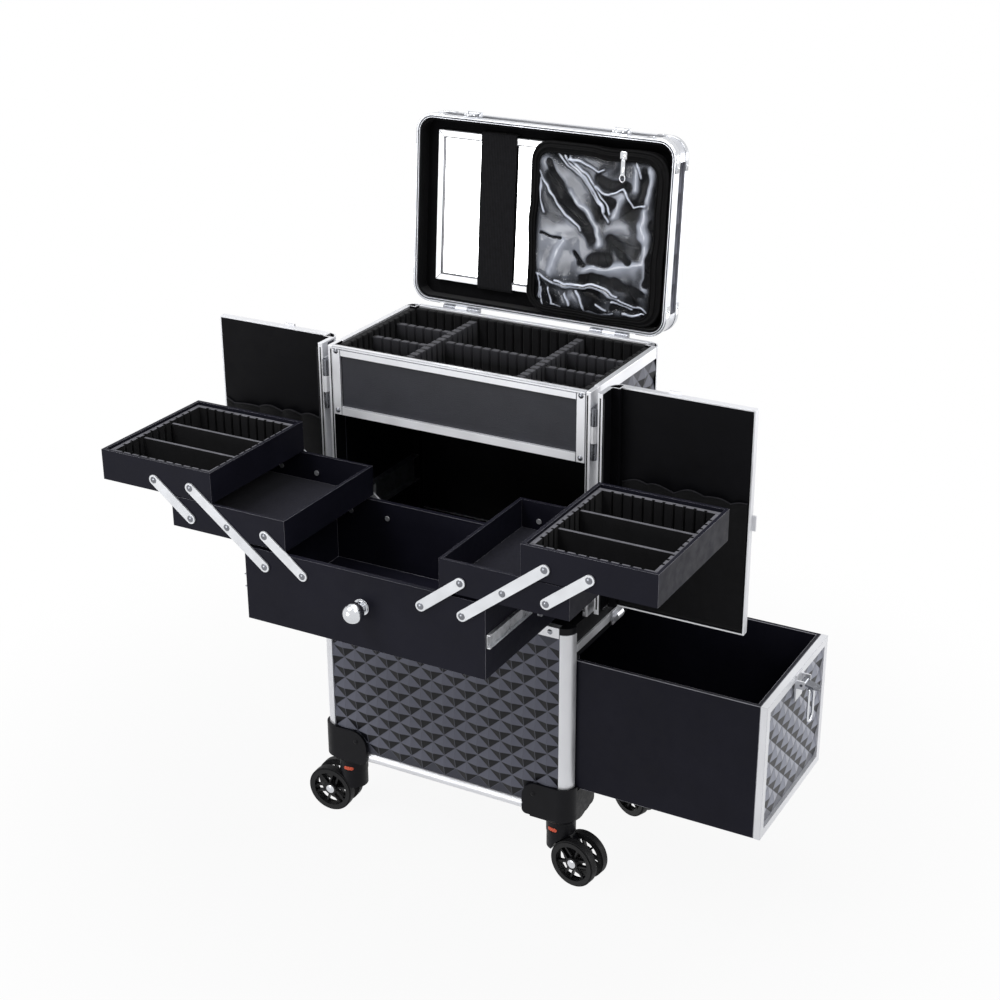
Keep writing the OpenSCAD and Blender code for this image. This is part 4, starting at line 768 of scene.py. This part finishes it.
def film_relief(s, t):
    """Height of the film in millimetres and how cloudy it looks, with painted highlights and sheen, at
    points from its corner.
    """
    ws = s + 5 * noise(s / 30, t / 30, 11) + 2.2 * noise(s / 11, t / 11, 12)
    wt = t + 5 * noise(s / 30, t / 30, 13) + 2.2 * noise(s / 11, t / 11, 14)
    h = 1.2 * noise(ws / 40, wt / 40, 1) + 0.8 * (0.5 - np.abs(noise(ws / 24, wt / 30, 3) * 1.6))
    m = 0.17 + 0.24 * noise(ws / 26, wt / 34, 5) + 0.10 * noise(ws / 9, wt / 13, 6)
    for pts, w in PALE:
        k = np.exp(-(near(ws, wt, pts) / w) ** 2)
        m += (PALE_HAZE_AND_SHEEN - m) * k * 0.85
        h += 0.9 * k
    for pts in SOFT:
        k = np.exp(-(near(ws, wt, pts) / 4.5) ** 2)
        m += (SOFT_HAZE_AND_SHEEN - m) * k * 0.8
        h += 1.4 * k
    for pts, w in DARK:
        k = within(near(ws, wt, pts), w * 0.9, w * 1.5)
        m += (HAZE_DARK - m) * k
        h -= 1.6 * k
    for pts in SHARP:
        # a painted highlight: a bright line, with a darker band of painted shade and a shallow trough beside
        # it
        d = near(ws, wt, pts)
        m += (SHARP_HAZE_AND_HIGHLIGHT - m) * within(d, 0.5, 1.5)
        m -= 0.35 * np.exp(-((d - 3.0) / 1.4) ** 2) * m
        h += 2.2 * np.exp(-d / 2.2) - 0.8 * np.exp(-((d - 4.0) / 2.0) ** 2)
    return h, np.clip(m, 0, 1)


def from_bag_centre(p):
    """Unit vectors from the middle of the bag to points in plan."""
    d = p - np.array(BAG_C)
    return d / np.linalg.norm(d, axis=1, keepdims=True)


def bag_edge(inset, z, wobble=1.0, window=False):
    """Wavy loop along the bag's outline, or along the window that holds the film."""
    if window:
        p = round_rect(*FILM_C, *FILM_H, WINDOW_R, 3.0)
    else:
        hx, hy = BAG_H
        p = round_rect(*BAG_C, hx - inset, hy - inset, max(4, BAG_R - inset * 0.7), 3.0)
    w = wobble * 1.6 * noise(p[:, 0] / 30, p[:, 1] / 30, 21)
    p = p + from_bag_centre(p) * (w[:, None] - 1.0)
    return np.column_stack([p, z + 1.2 * noise(p[:, 0] / 34, p[:, 1] / 34, 22)])


def make_bag_shell():
    # back panel, as a fan of rings
    cx, cy = BAG_C
    outer, inner = bag_edge(1.5, BAG_PANEL, 0.6), bag_edge(12, BAG_PANEL, 0.6)
    n = len(outer)
    inner = inner[np.linspace(0, len(inner) - 1, n).astype(int)]
    rows = [outer]
    for k in (1.0, 0.75, 0.5, 0.25):
        rows.append(np.column_stack([cx + (inner[:, 0] - cx) * k, cy + (inner[:, 1] - cy) * k,
                                     np.full(n, BAG_PANEL)]))
    faces = grid_faces(n, 5, True) + [tuple(range(4 * n, 5 * n))]
    add("bag_back_panel", lid(np.concatenate(rows)), faces, M["bag_back"], "lid")

    # gusset between the front and the back edge, bulging a little
    front, back = bag_edge(1.0, BAG_FRONT), bag_edge(1.0, BAG_BACK, 0.6)
    rows = []
    for k in np.linspace(0, 1, 6):
        p = front * (1 - k) + back * k
        p[:, :2] += from_bag_centre(p[:, :2]) * (1.6 * math.sin(math.pi * k))
        rows.append(p)
    add("bag_gusset", lid(np.concatenate(rows)), grid_faces(len(front), 6, True), M["tape"], "lid")

    b = Build()
    for path, r in ((front, 1.9), (back, 1.7)):
        v, f = sweep(path, ring(r, 10, 1.0, 0.8), True, LID_OUT)
        b.put(lid(v), f)
    b.done("bag_binding", M["tape"], "lid")


def make_bag_zip():
    # band from the bag's edge to the window, arched towards the viewer
    outer = bag_edge(2.0, BAG_FRONT - 0.4)
    m = len(outer)
    inner = resample(bag_edge(0, BAG_FRONT - 0.2, window=True), m)
    rows = []
    for k in np.linspace(0, 1, 7):
        p = outer * (1 - k) + inner * k
        p[:, 2] -= 1.0 * math.sin(math.pi * k)
        rows.append(p)
    add("bag_zip_band", lid(np.concatenate(rows)), grid_faces(m, 7, True), M["tape"], "lid")

    # coil: a tube whose radius swells at every tooth, four points to each step of the band
    path = outer * 0.55 + inner * 0.45
    path[:, 2] -= 1.5
    ahead = np.roll(path, -1, 0)
    dense = np.stack([path + (ahead - path) * k / 4 for k in range(4)], 1).reshape(-1, 3)
    swell = 1.0 + 0.22 * np.where(np.arange(len(dense)) % 2 == 0, 1, -1)
    v, f = sweep(dense, ring(1.0, 8, 1.25, 0.7), True, LID_OUT, swell)
    add("bag_zip_coil", lid(v), f, M["tape"], "lid")
    v, f = sweep(bag_edge(0, BAG_FRONT - 0.6, window=True), ring(1.1, 8), True, LID_OUT)
    add("bag_film_seam", lid(v), f, M["tape"], "lid")


def make_film():
    (fx, fy), (wx, wy), rc = FILM_C, FILM_H, FILM_R
    nx, ny = FILM_GRID
    gx, gy = np.meshgrid(np.linspace(fx - wx, fx + wx, nx), np.linspace(fy - wy, fy + wy, ny))
    dx, dy = np.abs(gx - fx), np.abs(gy - fy)
    # squares the circle at the corners, so that the sheet ends in a rounded outline
    ax, ay = dx - (wx - rc), dy - (wy - rc)
    corner = (ax > 0) & (ay > 0)
    rad = np.hypot(np.maximum(ax, 0), np.maximum(ay, 0))
    big = np.maximum(np.maximum(ax, ay), 1e-6)
    k = np.where(corner, big / np.maximum(rad, 1e-6), 1.0)
    px = fx + np.sign(gx - fx) * np.where(corner, wx - rc + ax * k, dx)
    py = fy + np.sign(gy - fy) * np.where(corner, wy - rc + ay * k, dy)
    # flat at the rim, sagging and creased inside
    rim = smooth_step(np.minimum(np.minimum(wx - dx, wy - dy) / 8.0, 1.0))
    u, w = (gx - fx) / wx, (gy - fy) / wy
    sag = 2.4 * (1 - u * u) * np.clip(0.25 + 0.75 * (w * 0.5 + 0.5), 0, 1)
    h, milky_and_highlight = film_relief(gx - (fx - wx), gy - (fy - wy))
    z = np.clip(BAG_FRONT + 1.0 - rim * (0.4 + sag) - rim * h * 0.8, -3.5, 10.0)
    film = add("bag_film", lid(np.stack([px, py, z], -1).reshape(-1, 3)),
               [q[::-1] for q in grid_faces(nx, ny)], M["film"], "lid")
    # the film's cloudy share, with its painted highlights and sheen, weaker near the rim
    att = film.data.attributes.new("haze_and_highlight", "FLOAT", "POINT")
    att.data.foreach_set("value", (milky_and_highlight * (0.25 + 0.75 * rim)).reshape(-1))
    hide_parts("clear_bag")


def make_zip_pull():
    """Slider, pull tab and ring, kept flat so that the closed lid clears the rim of the case."""
    b = Build()
    x, y = 105.0, BAG_C[1] - BAG_H[1] + 7.0

    def block(y, z, half, chamfer):
        """Box with cut corners: four stacked rounded outlines."""
        hx, hy, hz = half
        rows = []
        for dz, inset in ((-hz, chamfer), (-hz + chamfer, 0), (hz - chamfer, 0), (hz, chamfer)):
            p = round_rect(x, y, hx - inset, hy - inset, min(hx, hy) * 0.45, 0.7)
            rows.append(np.column_stack([p, np.full(len(p), z + dz)]))
        n = len(rows[0])
        b.put(lid(np.concatenate([resample(p, n) for p in rows])), tube_faces(n, 4))

    block(y, 1.5, (4.4, 5.0, 1.1), 0.5)
    block(y + 1.5, 0.6, (1.4, 2.6, 0.35), 0.2)
    block(y + 14.0, 0.8, (2.6, 9.5, 0.45), 0.25)
    a = np.linspace(0, 2 * math.pi, 25)[:-1]
    path = np.column_stack([x + 3.3 * np.cos(a), y + 26.0 + 4.2 * np.sin(a), np.full(24, 0.9)])
    v, f = sweep(path, ring(0.6, 8), True, LID_OUT)
    b.put(lid(v), f)
    b.done("bag_zip_pull", M["chrome"], "lid")


make_bag_shell()
make_bag_zip()
make_film()
make_zip_pull()

# ----------------------------------------
# elastic strap over the mirror: woven ribs, turned back to the lining at both ends


def make_strap():
    y0, y1 = MIRROR[2] - 4.0, MIRROR[3] + 4.0
    top = MIRROR[4] - 0.9
    ribs = 22
    n = ribs * 4 + 1
    relief = 0.22 * np.cos(np.linspace(0, ribs * 2 * math.pi, n))
    # path in y and z: up from the lining, over the mirror in a shallow arch, and down again
    turn = [(0.7, LID_FLOOR - 0.2), (0.7, top + 3.0), (1.2, top + 1.0), (3.0, top + 0.1)]
    path = [(y0 + d, z) for d, z in turn]
    for k in np.linspace(0.0, 1.0, 30):
        path.append((y0 + 5 + (y1 - y0 - 10) * k, top - 0.6 * math.sin(math.pi * k)))
    path = np.array(path + [(y1 - d, z) for d, z in turn[::-1]])
    t = np.gradient(path, axis=0)
    t /= np.linalg.norm(t, axis=1, keepdims=True)
    normal = np.stack([t[:, 1], -t[:, 0]], 1)
    sheets = []
    for off in (0.55 + relief, -0.55 - relief * 0.3):
        v = np.empty((len(path), n, 3))
        v[..., 0] = np.linspace(*STRAP, n)
        v[..., 1] = path[:, :1] + normal[:, :1] * off
        v[..., 2] = path[:, 1:] + normal[:, 1:] * off
        sheets.append(v)
    section = np.concatenate([sheets[0], sheets[1][:, ::-1]], axis=1)
    o = add("elastic_strap", lid(section.reshape(-1, 3)), tube_faces(section.shape[1], len(path)),
            M["elastic"], "lid")
    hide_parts("mirror_strap")


make_strap()

# ----------------------------------------
# lid corner brackets with rivets

# profile of a rivet's head as (radius, height), in metres
HEAD = [(0, 0.0011), (0.0009, 0.001), (0.0016, 0.0007), (0.0019, 0.0002), (0.0019, -0.0004), (0, -0.0004)]


def make_lid_brackets():
    b = Build()
    # radius of the corner, length of a bracket's legs, and place of the rivet on a leg
    r, leg, at = 22.0, 15, 9
    up = np.array([0, 0, 1.0])
    # outline round the corner, seen in plan
    turn = [math.radians(90 * i / 12) for i in range(13)]
    outline = np.array([(HW, HD - r - leg)]
                       + [(HW - r + r * math.cos(a), HD - r + r * math.sin(a)) for a in turn]
                       + [(HW - r - leg, HD)])
    for sx in (-1, 1):
        for sy in (-1, 1):
            for z0, z1 in ((LID_Z0 + 0.4, 12.2), (28.8, LID_Z1 - 4.4)):
                zm, hz = (z0 + z1) / 2, (z1 - z0) / 2
                path = np.column_stack([outline * np.array([sx, sy]), np.full(len(outline), zm)])
                section = np.array([(-0.3, -hz), (0.9, -hz + 0.3), (1.0, -hz + 0.9), (1.0, hz - 0.9),
                                    (0.9, hz - 0.3), (-0.3, hz)])
                # the section's outer face has to look away from the lid on every corner
                side, _ = frames(path, False, up)
                if np.dot(side[len(path) // 2], (sx, sy, 0.0)) <= 0:
                    section = (section * np.array([-1.0, 1.0]))[::-1]
                v, f = sweep(path, section, False, up)
                b.put(lid(v), f)
                for c, d in (((sx * (HW + 0.9), sy * (HD - r - at), zm), (sx, 0, 0)),
                             ((sx * (HW - r - at), sy * (HD + 0.9), zm), (0, sy, 0))):
                    q0, q1 = lid(c), lid(np.array(c) + np.array(d, float))
                    v, f = lathe(HEAD, q0, (q1 - q0) / np.linalg.norm(q1 - q0), 14)
                    b.put(v, f)
    b.done("lid_corner_brackets", M["chrome"], "lid")


make_lid_brackets()

# ----------------------------------------
# gathered pockets inside the doors, with a piped wavy edge


def make_pocket(side, sx, seed):
    x0, x1, z0, z1 = POCKET
    nu, nv = 90, 26
    uu, vv = np.meshgrid(np.linspace(0, 1, nu), np.linspace(0, 1, nv))
    gather = np.abs(np.sin(uu * math.pi * 4.5 + 0.8 * noise(uu * 4, uu * 0, seed)))
    hang = np.sin(math.pi * uu) ** 0.35
    depth = vv ** 1.6 * hang * (2.2 + 2.6 * gather) + 0.7 * vv * (1 - vv) * noise(uu * 9, vv * 3, seed + 1)
    drop = (5.0 * (1 - gather) + 2.5 * noise(uu * 5, uu * 0, seed + 2)) * vv ** 3
    x = sx * (x0 + (x1 - x0) * uu)
    y = POCKET_Y - np.maximum(depth, 0.15)
    z = z0 + (z1 - z0) * vv - drop
    # two faces a little apart, joined all round
    front = np.stack([x, y - 0.35, z], -1)
    rear = np.stack([x, y + 0.25, z], -1)
    n = nu * nv
    f = grid_faces(nu, nv)
    g = [tuple(k + n for k in q[::-1]) for q in f]
    loop = list(range(nu)) + [j * nu + nu - 1 for j in range(1, nv)]
    loop += [(nv - 1) * nu + i for i in range(nu - 2, -1, -1)] + [j * nu for j in range(nv - 2, 0, -1)]
    w = [(i + n, j + n, j, i) for i, j in zip(loop, loop[1:] + loop[:1])]
    add(f"{side}_door_pocket", world(np.concatenate([front.reshape(-1, 3), rear.reshape(-1, 3)])), f + g + w,
        M["pocket"], f"{side} door")
    path = np.stack([x[-1], y[-1], z[-1] + 0.3], -1)
    v, f = sweep(path, ring(0.8, 8), False, np.array([0, -1.0, 0]))
    add(f"{side}_pocket_piping", world(v), f, M["piping"], f"{side} door")


make_pocket("left", -1, 31)
make_pocket("right", 1, 37)

# ----------------------------------------
# fine trim: lip and mitres of the mirror frame, grooves of the lid's rim and the hinge profiles


def bar(build, p, q, side, face, w, h, place):
    """Thin strip from p to q with a hollowed face, w wide along side and h high along face."""
    p, q, side, face = (np.asarray(k, float) for k in (p, q, side, face))
    sec = [(-w / 2, 0), (-w / 2, h), (-w * 0.2, h * 0.6), (w * 0.2, h * 0.6), (w / 2, h), (w / 2, 0)]
    v = np.array([e + side * a + face * b for e in (p, q) for a, b in sec])
    build.put(place(v), tube_faces(len(sec), 2))


def upright(build, x, y, z0, z1):
    """Upright groove on a profile that faces the front, a black strip of painted shade."""
    bar(build, (x, y, z0), (x, y, z1), (1, 0, 0), (0, -1, 0), 1.7, 0.25, world)


def make_mirror_lip():
    x0, x1, y0, y1, face = MIRROR
    z, e = face + 0.1, MIRROR_RAIL
    b = Build()
    inner = np.array([(x0 + e, y0 + e, z), (x1 - e, y0 + e, z), (x1 - e, y1 - e, z), (x0 + e, y1 - e, z)])
    outer = np.array([(x0, y0, z), (x1, y0, z), (x1, y1, z), (x0, y1, z)])
    for k in range(4):
        # lip along the glass, and the mitre at the corner
        for p, q, start, w, h in ((inner[k], inner[(k + 1) % 4], 0.0, 1.3, 0.35),
                                  (outer[k], inner[k], 0.8, 0.7, 0.2)):
            t = (q - p) / np.linalg.norm(q - p)
            bar(b, p + t * start, q, np.cross(LID_OUT, t), LID_OUT, w, h, lid)
    b.done("mirror_frame_lip", M["lip"], "lid")


def make_grooves():
    section = [(-0.75, 0), (-0.75, 0.25), (-0.3, 0.12), (0.3, 0.12), (0.75, 0.25), (0.75, 0)]
    rim = round_rect(0, 0, HW - 2.4, HD - 2.4, 19.6, 3.0)
    v, f = sweep(np.column_stack([rim, np.full(len(rim), LID_Z0 + 0.1)]), section, True, LID_OUT)
    # darker metal in the rim groove: painted shade
    add("lid_rim_groove", lid(v), f, M["groove"], "lid")
    for side, sx in (("left", -1), ("right", 1)):
        b = Build()
        for x in (181.0, 185.5):
            upright(b, sx * x, -73.35, 356, 611)
        b.done(f"{side}_door_profile_groove", M["nylon"], f"{side} door")
    b = Build()
    for sx in (-1, 1):
        upright(b, sx * 166.0, -73.95, 350, 612)
    b.done("stile_grooves", M["nylon"], "case")


make_mirror_lip()
make_grooves()

# ----------------------------------------
# stage, light and camera


def make_floor():
    me = bpy.data.meshes.new("floor")
    s = 30.0
    me.from_pydata([(-s, -s, 0), (s, -s, 0), (s, s, 0), (-s, s, 0)], [], [(0, 1, 2, 3)])
    me.update()
    o = bpy.data.objects.new("floor", me)
    bpy.context.scene.collection.objects.link(o)
    m = bpy.data.materials.new("pale_floor")
    m.use_nodes = True
    m.node_tree.nodes.clear()
    t = Tree(m.node_tree)
    diffuse = t.node("ShaderNodeBsdfDiffuse")
    diffuse.inputs["Color"].default_value = (0.55, 0.55, 0.555, 1)
    white = t.node("ShaderNodeEmission")
    white.inputs["Color"].default_value = (1, 1, 1, 1)
    white.inputs["Strength"].default_value = 1.0
    # the floor shows its shadow near the case and plain white further off
    far = t.node("ShaderNodeVectorMath", operation="LENGTH")
    t.link(t.node("ShaderNodeTexCoord").outputs["Object"], far.inputs[0])
    fade = t.ranged(far.outputs["Value"], 0.93, 1.0, 0.35, 0.95, "SMOOTHSTEP")
    mix = t.node("ShaderNodeMixShader")
    t.link(t.math("MULTIPLY", t.plain_view(), fade), mix.inputs[0])
    t.link(diffuse.outputs[0], mix.inputs[1])
    t.link(white.outputs[0], mix.inputs[2])
    t.link(mix.outputs[0], t.node("ShaderNodeOutputMaterial").inputs["Surface"])
    me.materials.append(m)


def make_world():
    """White where it is seen, a weak even light everywhere else."""
    w = bpy.data.worlds.new("studio")
    bpy.context.scene.world = w
    w.use_nodes = True
    t = Tree(w.node_tree)
    background = w.node_tree.nodes["Background"]
    background.inputs["Color"].default_value = (1, 1, 1, 1)
    weak = 0.2
    t.link(t.math("MULTIPLY_ADD", t.plain_view(), 1 - weak, weak), background.inputs["Strength"])


def area(name, loc, target, size, power, size_y=None):
    light = bpy.data.lights.new(name, "AREA")
    light.energy = power
    light.shape = "RECTANGLE"
    light.size = size
    light.size_y = size_y or size
    o = bpy.data.objects.new(name, light)
    bpy.context.scene.collection.objects.link(o)
    o.location = loc
    o.rotation_euler = (Vector(target) - Vector(loc)).to_track_quat("-Z", "Y").to_euler()


def make_camera():
    """Camera fitted to the photograph: angles round a target point, and the distance from it."""
    c = bpy.data.cameras.new("camera")
    c.lens = 66.23
    c.sensor_width = 36.0
    c.sensor_fit = "HORIZONTAL"
    c.clip_end = 60
    o = bpy.data.objects.new("camera", c)
    bpy.context.scene.collection.objects.link(o)
    az, el, roll = math.radians(28.74), math.radians(23.51), math.radians(-0.20)
    target, distance = Vector((0.0151, 0.0033, 0.428)), 2.1907
    back = Vector((math.sin(az) * math.cos(el), -math.cos(az) * math.cos(el), math.sin(el)))
    right = Vector((math.cos(az), math.sin(az), 0))
    up = back.cross(right)
    right_rolled = right * math.cos(roll) + up * math.sin(roll)
    up_rolled = up * math.cos(roll) - right * math.sin(roll)
    m = Matrix((right_rolled, up_rolled, back)).transposed().to_4x4()
    m.translation = target + back * distance
    o.matrix_world = m
    bpy.context.scene.camera = o


make_floor()
make_world()
area("key", (-1.1, -1.7, 3.0), (0, 0, 0.45), 1.3, 42)
area("front", (-1.1, -2.45, 0.6), (0, -0.1, 0.3), 1.0, 16, 0.8)
area("back_right", (1.75, 1.9, 0.45), (0.35, 0, 0.25), 1.2, 18, 0.8)
area("fill", (1.9, -0.9, 2.6), (0.1, 0, 0.4), 1.3, 18)
area("top", (0.1, 0.3, 3.0), (0, 0, 0.5), 1.6, 26)
make_camera()
bpy.context.scene.view_settings.view_transform = "Standard"
